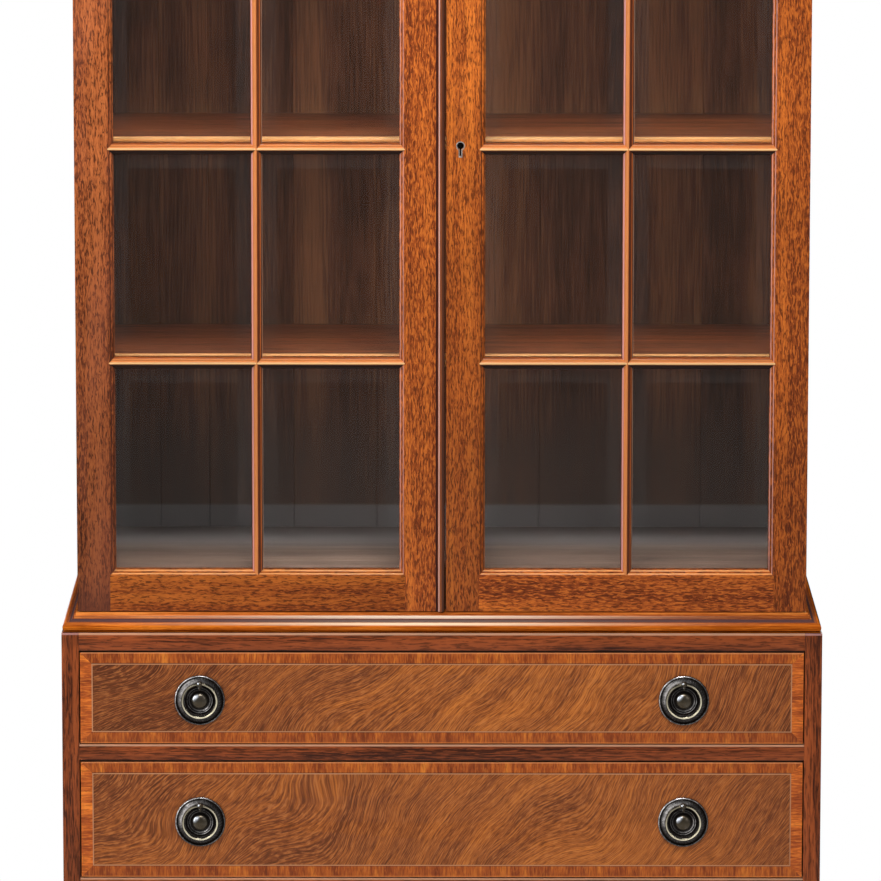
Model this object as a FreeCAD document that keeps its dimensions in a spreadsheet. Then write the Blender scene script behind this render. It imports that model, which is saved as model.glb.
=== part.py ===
import FreeCAD, Part
import math
import operator
import os
import Sketcher

# Two-part glazed bookcase: a chest of three long drawers that carries a cupboard with two
# glazed doors. X runs to the right, +Y to the back and +Z up. The origin is on the floor,
# under the middle of the whole piece's box. All lengths are in millimetres.

SIZES = {
    # Lower case
    "lower_width": 1067,
    "lower_depth": 394,
    "lower_height": 620,
    "lower_side_thick": 24,
    "case_board_thick": 18,
    "housing_depth": 6,
    "top_rail_height": 26,
    "rail_height": 23.5,
    "rail_depth": 45,
    "runner_width": 22,
    "rail_stub": 6,
    "stop_length": 40,
    "stop_depth": 18,
    "stop_height": 6,
    "back_thick": 12,
    "back_rebate": 8,
    "board_chamfer": 1.5,
    # Feet and base moulding
    "foot_height": 100,
    "foot_length": 150,
    "foot_toe": 62,
    "foot_thick": 20,
    "foot_projection": 5,
    "foot_block": 38,
    "base_height": 22,
    "base_projection": 9,
    "base_hollow": 5,
    "base_fillet": 2,
    # Waist, where the upper case stands on the lower one
    "waist_step": 22,
    "waist_height": 17.5,
    "waist_strip": 60,
    "waist_inset": 1.4,
    "waist_torus": 6.2,
    "waist_lip": 1.4,
    "waist_lip_inset": 0.6,
    "waist_quirk": 1.4,
    "waist_cove": 5.6,
    "base_board_thick": 8,
    "edge_lip": 2.5,
    "edge_step": 2.5,
    "edge_round": 1.2,
    # Upper case
    "upper_side_thick": 20,
    "floor_rise": 57.5,
    "floor_rail_thick": 20,
    "frieze_height": 46,
    "frieze_thick": 20,
    "cornice_height": 56,
    "cornice_projection": 48,
    "cornice_fillet": 3,
    "cornice_ovolo": 9,
    "cornice_soffit": 14,
    "cornice_corona": 20,
    # Shelves, which lie loose on pegs
    "shelf_thick": 19,
    "shelf_setback": 50,
    "shelf_slack": 1,
    "reed_radius": 3.6,
    "low_shelf_top": 1102,
    "middle_shelf_top": 1409.5,
    "high_shelf_top": 1712,
    "peg_radius": 3,
    "peg_depth": 11,
    "peg_reach": 14,
    "peg_inset": 45,
    # Doors
    "door_height": 1307,
    "door_thick": 22,
    "door_gap": 1.5,
    "meeting_gap": 2,
    "stile_width": 46,
    "door_rail_width": 51,
    "tenon_length": 24,
    "tenon_thick": 7,
    "bar_half": 8,
    "bar_nose": 3.1,
    "bar_top": 0.6,
    "bar_ovolo": 3.4,
    "bar_quirk": 0.9,
    "bar_lip": 2.4,
    "bar_neck": 0.6,
    "web_half": 2.5,
    "web_depth": 20,
    "glass_plane": 10,
    "glass_thick": 5,
    "glass_edge": 2.5,
    "bevel_width": 20,
    "pane_slack": 0.4,
    "glazing_bead": 5,
    "bead_width": 9.5,
    "bead_proud": 4,
    "edge_ease": 2,
    # Pivot hinges at the top and bottom of the doors
    "pivot_inset": 6,
    "pivot_radius": 2.5,
    "pivot_clearance": 0.06,
    "pivot_length": 4,
    "leaf_length": 44,
    "leaf_half": 6,
    "leaf_thick": 2.5,
    "boss_radius": 5,
    "boss_gap": 0.3,
    "socket_clearance": 0.7,
    # Bolts in the left door
    "bolt_radius": 3,
    "bolt_clearance": 0.06,
    "bolt_length": 130,
    "bolt_inset": 11,
    "bolt_travel": 9,
    "bolt_back": 1,
    "bolt_centre": 6.5,
    "bolt_groove": 1,
    "bolt_plate_half": 8,
    "bolt_plate_length": 110,
    "bolt_plate_thick": 1.5,
    "bolt_plate_clearance": 0.3,
    "knob_radius": 4,
    "knob_length": 8,
    "knob_stem": 1.6,
    "knob_from_end": 85,
    # Lock in the right door
    "keyhole_inset": 19.5,
    "lock_width": 36,
    "lock_depth": 11,
    "lock_height": 56,
    "lock_wall": 1.5,
    "lock_bolt_half": 5,
    "lock_bolt_thick": 5,
    "lock_bolt_length": 26,
    "lock_bolt_back": 0.5,
    "lock_bolt_clearance": 0.08,
    "strike_height": 44,
    "strike_margin": 1,
    "keyhole_height": 22.6,
    "keyhole_width": 12.4,
    "keyhole_foot": 5.2,
    "escutcheon_rim": 1.5,
    "escutcheon_depth": 3,
    # Drawers
    "top_drawer_height": 130,
    "middle_drawer_height": 165.5,
    "bottom_drawer_height": 200,
    "drawer_gap": 1.8,
    "drawer_length": 350,
    "drawer_front_thick": 20,
    "veneer_thick": 1,
    "crossband_width": 16,
    "string_width": 1.5,
    "drawer_side_thick": 11,
    "drawer_side_drop": 3,
    "drawer_bottom_thick": 6,
    "drawer_bottom_rise": 9,
    "drawer_groove": 5,
    "drawer_back_drop": 8,
    "runner_clearance": 0.3,
    "tail_depth": 12,
    "tail_slope": 3,
    "tail_pitch": 42,
    # Ring pulls
    "pull_inset": 193.5,
    "pull_drop": 3,
    "plate_radius": 35.5,
    "plate_thick": 2,
    "plate_rim": 2.5,
    "plate_rim_rise": 1.2,
    "dish_radius": 19,
    "dish_step": 3.2,
    "dish_rise": 1.8,
    "knop_radius": 11,
    "knop_height": 9,
    "knop_collar": 1.6,
    "shank_radius": 2.6,
    "nut_radius": 6,
    "nut_thick": 3,
    "ring_radius": 24,
    "ring_wire": 2,
    "ring_stand": 6.8,
    "eye_radius": 4.6,
    "eye_hole": 2.6,
    "post_depth": 9,
    # Overrun of a cut past the face that it starts from
    "overrun": 1,
}

# Seams between the upright back boards, as shares of the back's width
BACK_SEAM_SHARES = (0, 0.091, 0.160, 0.286, 0.403, 0.525, 0.642, 0.759, 0.877, 1)
LOWER_BACK_BOARDS = 6
DOOR_ROWS = 4
DOOR_COLUMNS = 2
# Bulge of arcs, as shares of the size that they follow: 1 is a quarter round
FULL_ROUND_SHARE = 1.15
SOFT_ROUND_SHARE = 1.3
CLOCKWISE = True

doc = FreeCAD.newDocument("glazed_bookcase")
NODES = {}


# Sizes with their expressions

OPERATIONS = {"+": operator.add, "-": operator.sub, "*": operator.mul, "/": operator.truediv}


class Size:
    """A length that knows both its value and the sheet expression that gives it."""

    def __init__(self, value, text):
        self.value = value
        self.text = text

    def __add__(self, other):
        return combine(self, "+", other)

    def __radd__(self, other):
        return combine(other, "+", self)

    def __sub__(self, other):
        return combine(self, "-", other)

    def __rsub__(self, other):
        return combine(other, "-", self)

    def __mul__(self, other):
        return combine(self, "*", other)

    def __rmul__(self, other):
        return combine(other, "*", self)

    def __truediv__(self, other):
        return combine(self, "/", other)

    def __neg__(self):
        return combine(-1, "*", self)

    def __float__(self):
        return float(self.value)


def as_size(number):
    if isinstance(number, Size):
        return number
    return Size(float(number), f"({number})" if number < 0 else f"{number}")


def combine(first, sign, second):
    first, second = as_size(first), as_size(second)
    value = OPERATIONS[sign](first.value, second.value)
    return Size(value, f"({first.text} {sign} {second.text})")


class Sheet:
    """The spreadsheet of driving dimensions, read by alias."""

    def __init__(self):
        self.cells = doc.addObject("Spreadsheet::Sheet", "dims")
        for row, (alias, number) in enumerate(SIZES.items(), start=1):
            self.cells.set(f"A{row}", alias)
            self.cells.set(f"B{row}", str(number))
            self.cells.setAlias(f"B{row}", alias)
        doc.recompute()

    def __getattr__(self, alias):
        return Size(float(self.cells.get(alias)), f"dims.{alias}")


s = Sheet()


def bind(item, path, size):
    """Tie one property of a document object to the sheet."""
    item.setExpression(path, as_size(size).text)


def move_to(item, x=None, y=None, z=None):
    for axis, place in (("x", x), ("y", y), ("z", z)):
        if place is not None:
            bind(item, f"Placement.Base.{axis}", place)


# Sketches and the solids made from them

PLANES = {
    "XY": (FreeCAD.Rotation(), FreeCAD.Vector(0, 0, 1), "z", "XY_Plane"),
    "XZ": (FreeCAD.Rotation(FreeCAD.Vector(1, 0, 0), 90), FreeCAD.Vector(0, 1, 0), "y", "XZ_Plane"),
    "YZ": (FreeCAD.Rotation(FreeCAD.Vector(1, 1, 1), 120), FreeCAD.Vector(1, 0, 0), "x", "YZ_Plane"),
}


def pin_point(sketch, geometry, point, across, up):
    """Hold one point of a sketch at its place by the sheet."""
    for kind, size in (("DistanceX", across), ("DistanceY", up)):
        size = as_size(size)
        number = sketch.addConstraint(Sketcher.Constraint(kind, -1, 1, geometry, point, size.value))
        sketch.setExpression(f"Constraints[{number}]", size.text)


def add_arc(sketch, start, end, radius, clockwise):
    """A short arc from start to end, which turns left unless it is clockwise."""
    chord = end.sub(start)
    rise = math.sqrt(max(float(radius) ** 2 - (chord.Length / 2) ** 2, 0))
    left = FreeCAD.Vector(-chord.y, chord.x, 0).normalize()
    centre = start.add(chord.multiply(0.5)).add(left.multiply(-rise if clockwise else rise))
    first, last = (end, start) if clockwise else (start, end)
    angles = [math.atan2(point.y - centre.y, point.x - centre.x) for point in (first, last)]
    if angles[1] < angles[0]:
        angles[1] += 2 * math.pi
    circle = Part.Circle(centre, FreeCAD.Vector(0, 0, 1), float(radius))
    geometry = sketch.addGeometry(Part.ArcOfCircle(circle, angles[0], angles[1]))
    number = sketch.addConstraint(Sketcher.Constraint("Radius", geometry, float(radius)))
    sketch.setExpression(f"Constraints[{number}]", as_size(radius).text)
    return geometry


def draw_outline(sketch, outline):
    """Draw a closed outline. A corner is (across, up), or (across, up, radius) where an arc
    leads to it, with CLOCKWISE after the radius where that arc turns to the right."""
    points = [FreeCAD.Vector(float(corner[0]), float(corner[1]), 0) for corner in outline]
    starts, ends = [], []
    for index, start in enumerate(points):
        following = outline[(index + 1) % len(outline)]
        end = points[(index + 1) % len(points)]
        if len(following) == 2:
            geometry = sketch.addGeometry(Part.LineSegment(start, end))
            clockwise = False
        else:
            clockwise = len(following) == 4
            geometry = add_arc(sketch, start, end, following[2], clockwise)
        starts.append((geometry, 2 if clockwise else 1))
        ends.append((geometry, 1 if clockwise else 2))
    for index, corner in enumerate(outline):
        sketch.addConstraint(Sketcher.Constraint("Coincident", *ends[index - 1], *starts[index]))
        pin_point(sketch, *starts[index], corner[0], corner[1])


def draw_circle(sketch, across, up, radius):
    centre = FreeCAD.Vector(float(across), float(up), 0)
    circle = Part.Circle(centre, FreeCAD.Vector(0, 0, 1), float(radius))
    geometry = sketch.addGeometry(circle)
    number = sketch.addConstraint(Sketcher.Constraint("Radius", geometry, float(radius)))
    sketch.setExpression(f"Constraints[{number}]", as_size(radius).text)
    pin_point(sketch, geometry, 3, across, up)


def rectangle(left, low, right, high):
    return [(left, low), (right, low), (right, high), (left, high)]


def laid(profile, across, up, across_sign=1, up_sign=1, swapped=False):
    """Put a profile of (out, rise) corners at a place, mirrored or swapped where asked."""
    flipped = (across_sign * up_sign < 0) != swapped
    outline = []
    for corner in profile:
        pair = (across + across_sign * corner[0], up + up_sign * corner[1])
        if swapped:
            pair = (up + up_sign * corner[1], across + across_sign * corner[0])
        if len(corner) > 2:
            clockwise = (len(corner) == 4) != flipped
            pair += (corner[2], CLOCKWISE) if clockwise else (corner[2],)
        outline.append(pair)
    return outline


def prism(label, plane, outline, start, length):
    """A straight solid with the given outline, from start along the plane's axis."""
    rotation, direction, axis, _ = PLANES[plane]
    sketch = doc.addObject("Sketcher::SketchObject", f"{label}_outline")
    draw_outline(sketch, outline)
    sketch.Placement = FreeCAD.Placement(FreeCAD.Vector(), rotation)
    bind(sketch, f"Placement.Base.{axis}", start)
    solid = doc.addObject("Part::Extrusion", label)
    solid.Base = sketch
    solid.DirMode = "Custom"
    solid.Dir = direction
    solid.Solid = True
    bind(solid, "LengthFwd", length)
    return solid


def box(label, low, high):
    """A box between two corners, each given as (x, y, z)."""
    solid = doc.addObject("Part::Box", label)
    for name, near, far in zip(("Length", "Width", "Height"), low, high):
        bind(solid, name, far - near)
    move_to(solid, *low)
    return solid


def rod(label, plane, radius, start, length, across, up):
    """A round bar whose axis is square to the plane."""
    solid = doc.addObject("Part::Cylinder", label)
    bind(solid, "Radius", radius)
    bind(solid, "Height", length)
    turns = {
        "XY": FreeCAD.Rotation(),
        "XZ": FreeCAD.Rotation(FreeCAD.Vector(1, 0, 0), -90),
        "YZ": FreeCAD.Rotation(FreeCAD.Vector(0, 1, 0), 90),
    }
    solid.Placement = FreeCAD.Placement(FreeCAD.Vector(), turns[plane])
    places = {"XY": (across, up, start), "XZ": (across, start, up), "YZ": (start, across, up)}
    move_to(solid, *places[plane])
    return solid


def cut(label, base, tools):
    if len(tools) == 1:
        tool = tools[0]
    else:
        tool = group(f"{label}_tools", tools)
    solid = doc.addObject("Part::Cut", label)
    solid.Base = base
    solid.Tool = tool
    return solid


def fuse(label, pieces):
    solid = doc.addObject("Part::MultiFuse", label)
    solid.Shapes = pieces
    solid.Refine = True
    return solid


def common(label, first, second):
    solid = doc.addObject("Part::MultiCommon", label)
    solid.Shapes = [first, second]
    return solid


def group(label, pieces):
    """Separate solids that are kept together without being joined."""
    whole = doc.addObject("Part::Compound", label)
    whole.Links = pieces
    return whole


def node(name, pieces):
    """File one sub-part: one solid, or several like or joined ones."""
    if not isinstance(pieces, list):
        pieces = [pieces]
    item = pieces[0] if len(pieces) == 1 else group(f"{name}_set", pieces)
    item.Label = name
    NODES[name] = item
    return item


class Carved:
    """A body built from sketches on its own origin planes."""

    def __init__(self, label):
        self.body = doc.addObject("PartDesign::Body", label)
        self.label = label

    def sketch(self, plane, start):
        role = PLANES[plane][3]
        origin = next(item for item in self.body.Origin.OriginFeatures if item.Role == role)
        sketch = self.body.newObject("Sketcher::SketchObject", f"{self.label}_sketch")
        sketch.AttachmentSupport = [(origin, "")]
        sketch.MapMode = "FlatFace"
        bind(sketch, "AttachmentOffset.Base.z", -start if plane == "XZ" else start)
        return sketch

    def pad(self, plane, outlines, start, length):
        sketch = self.sketch(plane, as_size(start))
        for outline in outlines:
            draw_outline(sketch, outline)
        feature = self.body.newObject("PartDesign::Pad", f"{self.label}_pad")
        feature.Profile = sketch
        feature.Reversed = plane == "XZ"
        bind(feature, "Length", length)
        return self

    def pocket(self, plane, outlines, start, length):
        """Cut from start along the axis, for the given length."""
        far = as_size(start) if plane == "XZ" else start + length
        sketch = self.sketch(plane, far)
        for outline in outlines:
            if isinstance(outline, tuple):
                draw_circle(sketch, *outline)
            else:
                draw_outline(sketch, outline)
        feature = self.body.newObject("PartDesign::Pocket", f"{self.label}_pocket")
        feature.Profile = sketch
        bind(feature, "Length", length)
        return self

    def revolve(self, outline):
        """Turn an outline of (radius, along Y) round the body's Y axis."""
        sketch = self.sketch("XY", as_size(0))
        draw_outline(sketch, outline)
        feature = self.body.newObject("PartDesign::Revolution", f"{self.label}_turned")
        feature.Profile = sketch
        feature.ReferenceAxis = (sketch, ["V_Axis"])
        feature.Angle = 360
        return self

    def fillet(self, radius, chosen):
        """Round the edges of the last feature for which chosen(edge) is true."""
        doc.recompute()
        last = self.body.Tip
        names = [f"Edge{i}" for i, edge in enumerate(last.Shape.Edges, start=1) if chosen(edge)]
        feature = self.body.newObject("PartDesign::Fillet", f"{self.label}_fillet")
        feature.Base = (last, names)
        bind(feature, "Radius", radius)
        return self


# Main planes and levels

lower_half = s.lower_width / 2
upper_half = lower_half - s.waist_step
front_over = s.cornice_projection - s.waist_step
y_back = (s.lower_depth + front_over) / 2
y_lower_front = y_back - s.lower_depth
y_door_front = y_lower_front + s.waist_step
y_door_back = y_door_front + s.door_thick
y_case_front = y_door_back + s.door_gap
y_back_face = y_back - s.back_thick

z_lower_top = s.foot_height + s.lower_height
z_waist_top = z_lower_top + s.waist_height
z_base_top = z_waist_top + s.base_board_thick
z_door = z_base_top + s.door_gap
z_door_top = z_door + s.door_height
z_top_board = z_door_top + s.door_gap
z_frieze = z_top_board + s.case_board_thick
z_cornice = z_frieze + s.frieze_height
z_floor = z_base_top + s.floor_rise

lower_inner = lower_half - s.lower_side_thick
upper_inner = upper_half - s.upper_side_thick


def drawer_levels():
    """Each drawer's name, the opening's low and high level, and the front's own."""
    high = z_lower_top - s.top_rail_height
    levels = []
    heights = (s.top_drawer_height, s.middle_drawer_height, s.bottom_drawer_height)
    for name, height in zip(("top", "middle", "bottom"), heights):
        low = high - height - 2 * s.drawer_gap
        levels.append((name, low, high, low + s.drawer_gap, high - s.drawer_gap))
        high = low - s.rail_height
    return levels


DRAWERS = drawer_levels()
z_bottom_rail_top = DRAWERS[-1][1]


# Lower case

def lower_sides():
    """Ends of the lower case, housed for the boards and rails, and rebated for the back."""
    z_low, z_high = s.foot_height, z_lower_top
    y_rail_back = y_lower_front + s.rail_depth
    slots = [
        rectangle(y_rail_back, z_low, y_back_face, z_low + s.case_board_thick),
        rectangle(y_rail_back, z_high - s.case_board_thick, y_back_face, z_high),
    ]
    for _, low, _, _, _ in DRAWERS[:-1]:
        slots.append(rectangle(y_lower_front + s.rail_stub, low - s.rail_height, y_rail_back, low))
    for name, side in (("lower_left_side", -1), ("lower_right_side", 1)):
        inner = side * lower_inner
        outer = side * lower_half
        start = outer if side < 0 else inner
        body = Carved(name)
        body.pad("YZ", [rectangle(y_lower_front, z_low, y_back, z_high)], start, s.lower_side_thick)
        rebate_start = inner - s.back_rebate if side < 0 else inner
        rebate = rectangle(y_back_face, z_low - s.overrun, y_back + s.overrun, z_high + s.overrun)
        body.pocket("YZ", [rebate], rebate_start, s.back_rebate)
        housing_start = inner - s.housing_depth if side < 0 else inner
        body.pocket("YZ", slots, housing_start, s.housing_depth)
        node(name, body.body)


def lower_boards():
    y_front = y_lower_front + s.rail_depth
    reach = lower_inner + s.housing_depth
    for name, low in (
        ("lower_top_board", z_lower_top - s.case_board_thick), ("lower_bottom_board", s.foot_height),
    ):
        low = as_size(low)
        node(name, box(name, (-reach, y_front, low), (reach, y_back_face, low + s.case_board_thick)))


def drawer_rails():
    y_low, y_high = y_lower_front, y_lower_front + s.rail_depth
    pieces = [
        box(
            "top_rail",
            (-lower_inner, y_low, z_lower_top - s.top_rail_height),
            (lower_inner, y_high, z_lower_top),
        ),
        box("bottom_rail", (-lower_inner, y_low, s.foot_height), (lower_inner, y_high, z_bottom_rail_top)),
    ]
    for name, low, _, _, _ in DRAWERS[:-1]:
        # The front edge stops short of the housings, which the sides' own edges hide
        shown = box(
            f"{name}_rail_front", (-lower_inner, y_low, low - s.rail_height), (lower_inner, y_high, low),
        )
        reach = lower_inner + s.housing_depth
        housed = box(
            f"{name}_rail_ends",
            (-reach, y_low + s.rail_stub, low - s.rail_height),
            (reach, y_high, low),
        )
        pieces.append(fuse(f"{name}_drawer_rail", [shown, housed]))
    node("drawer_rails", pieces)


def drawer_runners():
    runners, stops = [], []
    y_low = y_lower_front + s.rail_depth
    z_board = s.foot_height + s.case_board_thick
    y_stop = y_lower_front + s.drawer_front_thick + s.runner_clearance
    for name, low, _, _, _ in DRAWERS:
        foot = z_board if name == "bottom" else low - s.rail_height
        for side_name, side in (("left", -1), ("right", 1)):
            near, far = sorted((side * lower_inner, side * (lower_inner - s.runner_width)), key=float)
            runners.append(box(f"{name}_{side_name}_runner", (near, y_low, foot), (far, y_back_face, low)))
            middle = side * (lower_half - s.pull_inset)
            near, far = middle - s.stop_length / 2, middle + s.stop_length / 2
            stop_high = low + s.stop_height
            stops.append(box(
                f"{name}_{side_name}_stop", (near, y_stop, low), (far, y_stop + s.stop_depth, stop_high),
            ))
    node("drawer_runners", runners + stops)


def board_plan(left, right, front, back):
    """Plan of a back board whose front corners are chamfered, so that each joint is a V."""
    nip = s.board_chamfer
    return [
        (left, front + nip),
        (left + nip, front),
        (right - nip, front),
        (right, front + nip),
        (right, back),
        (left, back),
    ]


def back_boards(name, half, shares, low, high):
    boards = []
    for number, (start, end) in enumerate(zip(shares[:-1], shares[1:]), start=1):
        left, right = -half + start * (2 * half), -half + end * (2 * half)
        plan = board_plan(left, right, y_back_face, y_back)
        boards.append(prism(f"{name}_{number}", "XY", plan, low, high - low))
    node(name, boards)


# Mouldings that run round the front and both sides, with mitred corners

def run_moulding(label, profile, half, front, reach, depth, low, height):
    """Three strips of one profile. The profile's corners are (out from the face, up)."""
    outer, inner = half + reach, half - depth
    y_out, y_in = front - reach, front + depth
    front_plan = [(-outer, y_out), (outer, y_out), (inner, y_in), (-inner, y_in)]
    front_run = prism(
        f"{label}_front_run", "YZ", laid(profile, front, low, across_sign=-1), -outer, 2 * outer,
    )
    front_block = prism(f"{label}_front_plan", "XY", front_plan, low, height)
    strips = [common(f"{label}_front", front_run, front_block)]
    for side_name, side in (("left", -1), ("right", 1)):
        plan = [(side * outer, y_out), (side * inner, y_in), (side * inner, y_back), (side * outer, y_back)]
        if side > 0:
            plan.reverse()
        run = prism(
            f"{label}_{side_name}_run", "XZ",
            laid(profile, side * half, low, across_sign=side), y_out,
            y_back - y_out,
        )
        block = prism(f"{label}_{side_name}_plan", "XY", plan, low, height)
        strips.append(common(f"{label}_{side_name}", run, block))
    return strips


def base_moulding():
    """A hollow under a small fillet, round the foot of the lower case."""
    out, hollow, fillet = s.base_projection, s.base_hollow, s.base_fillet
    shoulder = s.base_height - hollow - fillet
    profile = [
        (0, 0),
        (out, 0),
        (out, shoulder),
        (out - fillet, shoulder),
        (out - fillet - hollow, shoulder + hollow, hollow, CLOCKWISE),
        (out - fillet - hollow, s.base_height),
        (0, s.base_height),
    ]
    node("base_moulding", run_moulding(
        "base_moulding", profile, lower_half, y_lower_front,
        s.base_projection, as_size(0), s.foot_height, s.base_height,
    ))


def waist_moulding():
    """A lip, a torus and a hollow above it, on top of the lower case."""
    out, torus, lip, cove = -s.waist_inset, s.waist_torus, s.waist_lip, s.waist_cove
    depth, height = s.waist_strip, s.waist_height
    x_lip = out - s.waist_lip_inset
    x_cove = out - torus - s.waist_quirk
    profile = [
        (-depth, 0),
        (x_lip, 0),
        (x_lip, lip),
        (out - torus, lip),
        (out, lip + torus, torus),
        (out - torus, lip + 2 * torus, torus),
        (x_cove, lip + 2 * torus),
        (x_cove - cove, height, cove, CLOCKWISE),
        (-depth, height),
    ]
    strips = run_moulding(
        "waist_moulding", profile, lower_half, y_lower_front, as_size(0), depth, z_lower_top, height,
    )
    inner = lower_half - depth
    strips.append(
        box("waist_back_strip", (-inner, y_back - depth / 2, z_lower_top), (inner, y_back, z_waist_top)),
    )
    node("waist_moulding", strips)


def frieze():
    thick = s.frieze_thick
    profile = rectangle(-thick, 0, 0, s.frieze_height)
    node("frieze", run_moulding(
        "frieze", profile, upper_half, y_door_front, as_size(0), thick, z_frieze, s.frieze_height,
    ))


def cornice():
    """An ovolo, a corona with its soffit, and a large ogee under the top fillet."""
    thick, reach, height = s.frieze_thick, s.cornice_projection, s.cornice_height
    fillet, ovolo, soffit, corona = s.cornice_fillet, s.cornice_ovolo, s.cornice_soffit, s.cornice_corona
    lip = fillet + ovolo + soffit
    z_soffit = 2 * fillet + ovolo
    z_corona = z_soffit + corona
    ogee_out, ogee_up = reach - lip - fillet, height - z_corona - 2 * fillet
    sweep = (ogee_out + ogee_up) / 2
    profile = [
        (-thick, 0),
        (fillet / 2, 0),
        (fillet / 2, fillet),
        (fillet / 2 + ovolo, fillet + ovolo, ovolo),
        (fillet + ovolo, fillet + ovolo),
        (fillet + ovolo, z_soffit),
        (lip, z_soffit),
        (lip, z_corona),
        (lip + fillet / 2, z_corona),
        (lip + fillet / 2, z_corona + fillet),
        (lip + fillet / 2 + ogee_out / 2, z_corona + fillet + ogee_up / 2, sweep),
        (reach - fillet / 2, z_corona + fillet + ogee_up, sweep, CLOCKWISE),
        (reach, z_corona + fillet + ogee_up),
        (reach, height),
        (-thick, height),
    ]
    node("cornice", run_moulding(
        "cornice", profile, upper_half, y_door_front, reach, thick, z_cornice, height,
    ))


def bracket_outline(corner, side):
    """One face of a bracket foot in elevation, with its ogee inner edge."""
    toe, length, height = s.foot_toe, s.foot_length, s.foot_height
    bulge = (length - toe) / 3
    knee = height / 2
    points = [
        (0, 0),
        (toe, 0),
        (toe + bulge, knee, height, CLOCKWISE),
        (toe + 2 * bulge, (knee + height) / 2, bulge),
        (length, height - s.base_height / 2, bulge),
        (length, height),
        (0, height),
    ]
    return laid(points, corner, as_size(0), across_sign=side)


def bracket_feet():
    half, front = lower_half + s.foot_projection, y_lower_front - s.foot_projection
    thick, height, block = s.foot_thick, s.foot_height, s.foot_block
    reach = s.foot_length + s.overrun
    pieces = []
    for name, side in (("left", -1), ("right", 1)):
        outer, inner = side * half, side * (half - thick)
        # Front foot: two brackets that meet in a mitre at the corner
        face = prism(f"{name}_front_face", "XZ", bracket_outline(outer, -side), front, thick)
        plan = [
            (outer, front),
            (inner, front + thick),
            (outer - side * reach, front + thick),
            (outer - side * reach, front),
        ]
        mitre = prism(f"{name}_front_mitre", "XY", plan, as_size(0), height)
        pieces.append(common(f"{name}_front_bracket", face, mitre))
        start = outer if side < 0 else inner
        face = prism(f"{name}_side_face", "YZ", bracket_outline(front, 1), start, thick)
        plan = [(outer, front), (inner, front + thick), (inner, front + reach), (outer, front + reach)]
        mitre = prism(f"{name}_side_mitre", "XY", plan, as_size(0), height)
        pieces.append(common(f"{name}_side_bracket", face, mitre))
        # Back foot: a side bracket with a plain one behind
        pieces.append(prism(f"{name}_rear_bracket", "YZ", bracket_outline(y_back, -1), start, thick))
        near, far = sorted((inner, inner - side * s.foot_toe), key=float)
        pieces.append(box(f"{name}_back_bracket", (near, y_back - thick, as_size(0)), (far, y_back, height)))
        near, far = sorted((inner, inner - side * block), key=float)
        for end, y_low in (("front", front + thick), ("rear", y_back - thick - block)):
            pieces.append(box(f"{name}_{end}_block", (near, y_low, as_size(0)), (far, y_low + block, height)))
    node("bracket_feet", pieces)


# Upper case

def edged_board(name, low, layers):
    """A board whose edge stands past the upper case. Layers are (lip, thickness)."""
    body = Carved(name)
    level = low
    for lip, thick in layers:
        half, front = upper_half + lip, y_door_front - lip
        body.pad("XY", [rectangle(-half, front, half, y_back)], level, thick)
        level = level + thick
    return body


def on_edge(low, high):
    """Choose the level edges of a board's front and sides between two heights."""
    def chosen(edge):
        bounds = edge.BoundBox
        level = bounds.ZLength < 1e-6 and float(low) - 1e-6 < bounds.ZMin < float(high) + 1e-6
        outer = bounds.YMax > float(y_back) - 1e-6 and bounds.XLength > 1e-6
        return level and not outer
    return chosen


def leaf_plans(clear):
    """Plans of the two hinge leaves at one end of the doors, grown by a clearance."""
    plans = []
    y_pivot = y_door_front + s.door_thick / 2
    for side in (-1, 1):
        outer = side * (upper_half - clear)
        inner = outer - side * s.leaf_length
        near, far = sorted((outer, inner), key=float)
        plans.append(rectangle(near, y_pivot - s.leaf_half, far, y_pivot + s.leaf_half))
    return plans


def frame_boards():
    """The board that the upper case stands on, and the one over its doors."""
    y_pivot = y_door_front + s.door_thick / 2
    bolt_hole = (x_bolt, y_bolt, s.bolt_radius + s.socket_clearance)
    low_thick = s.base_board_thick / 2
    body = edged_board(
        "upper_base_board", z_waist_top, [(s.edge_lip + s.edge_step, low_thick), (s.edge_lip, low_thick)],
    )
    body.fillet(s.edge_round, on_edge(z_base_top, z_base_top))
    body.pocket("XY", leaf_plans(as_size(0)), z_base_top - s.leaf_thick, s.leaf_thick)
    body.pocket("XY", [bolt_hole], z_waist_top, s.base_board_thick)
    node("upper_base_board", body.body)
    thick = s.case_board_thick
    layers = [(s.edge_lip, thick / 3), (s.edge_lip + s.edge_step, thick / 3), (s.edge_lip, thick / 3)]
    body = edged_board("upper_top_board", z_top_board, layers)
    body.fillet(s.edge_round, on_edge(z_top_board + thick / 3, z_top_board + 2 * thick / 3))
    body.pocket("XY", leaf_plans(as_size(0)), z_top_board, s.leaf_thick)
    body.pocket("XY", [bolt_hole], z_top_board, s.bolt_travel + s.overrun)
    node("upper_top_board", body.body)


SHELVES = (
    ("low_shelf", s.low_shelf_top),
    ("middle_shelf", s.middle_shelf_top),
    ("high_shelf", s.high_shelf_top),
)


def peg_places():
    """Each shelf peg's side, its y and the level of its axis."""
    places = []
    y_front = y_case_front + s.shelf_setback
    for _, top in SHELVES:
        for side in (-1, 1):
            for y_place in (y_front + s.peg_inset, y_back_face - s.peg_inset):
                places.append((side, y_place, top - s.shelf_thick - s.peg_radius))
    return places


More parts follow.
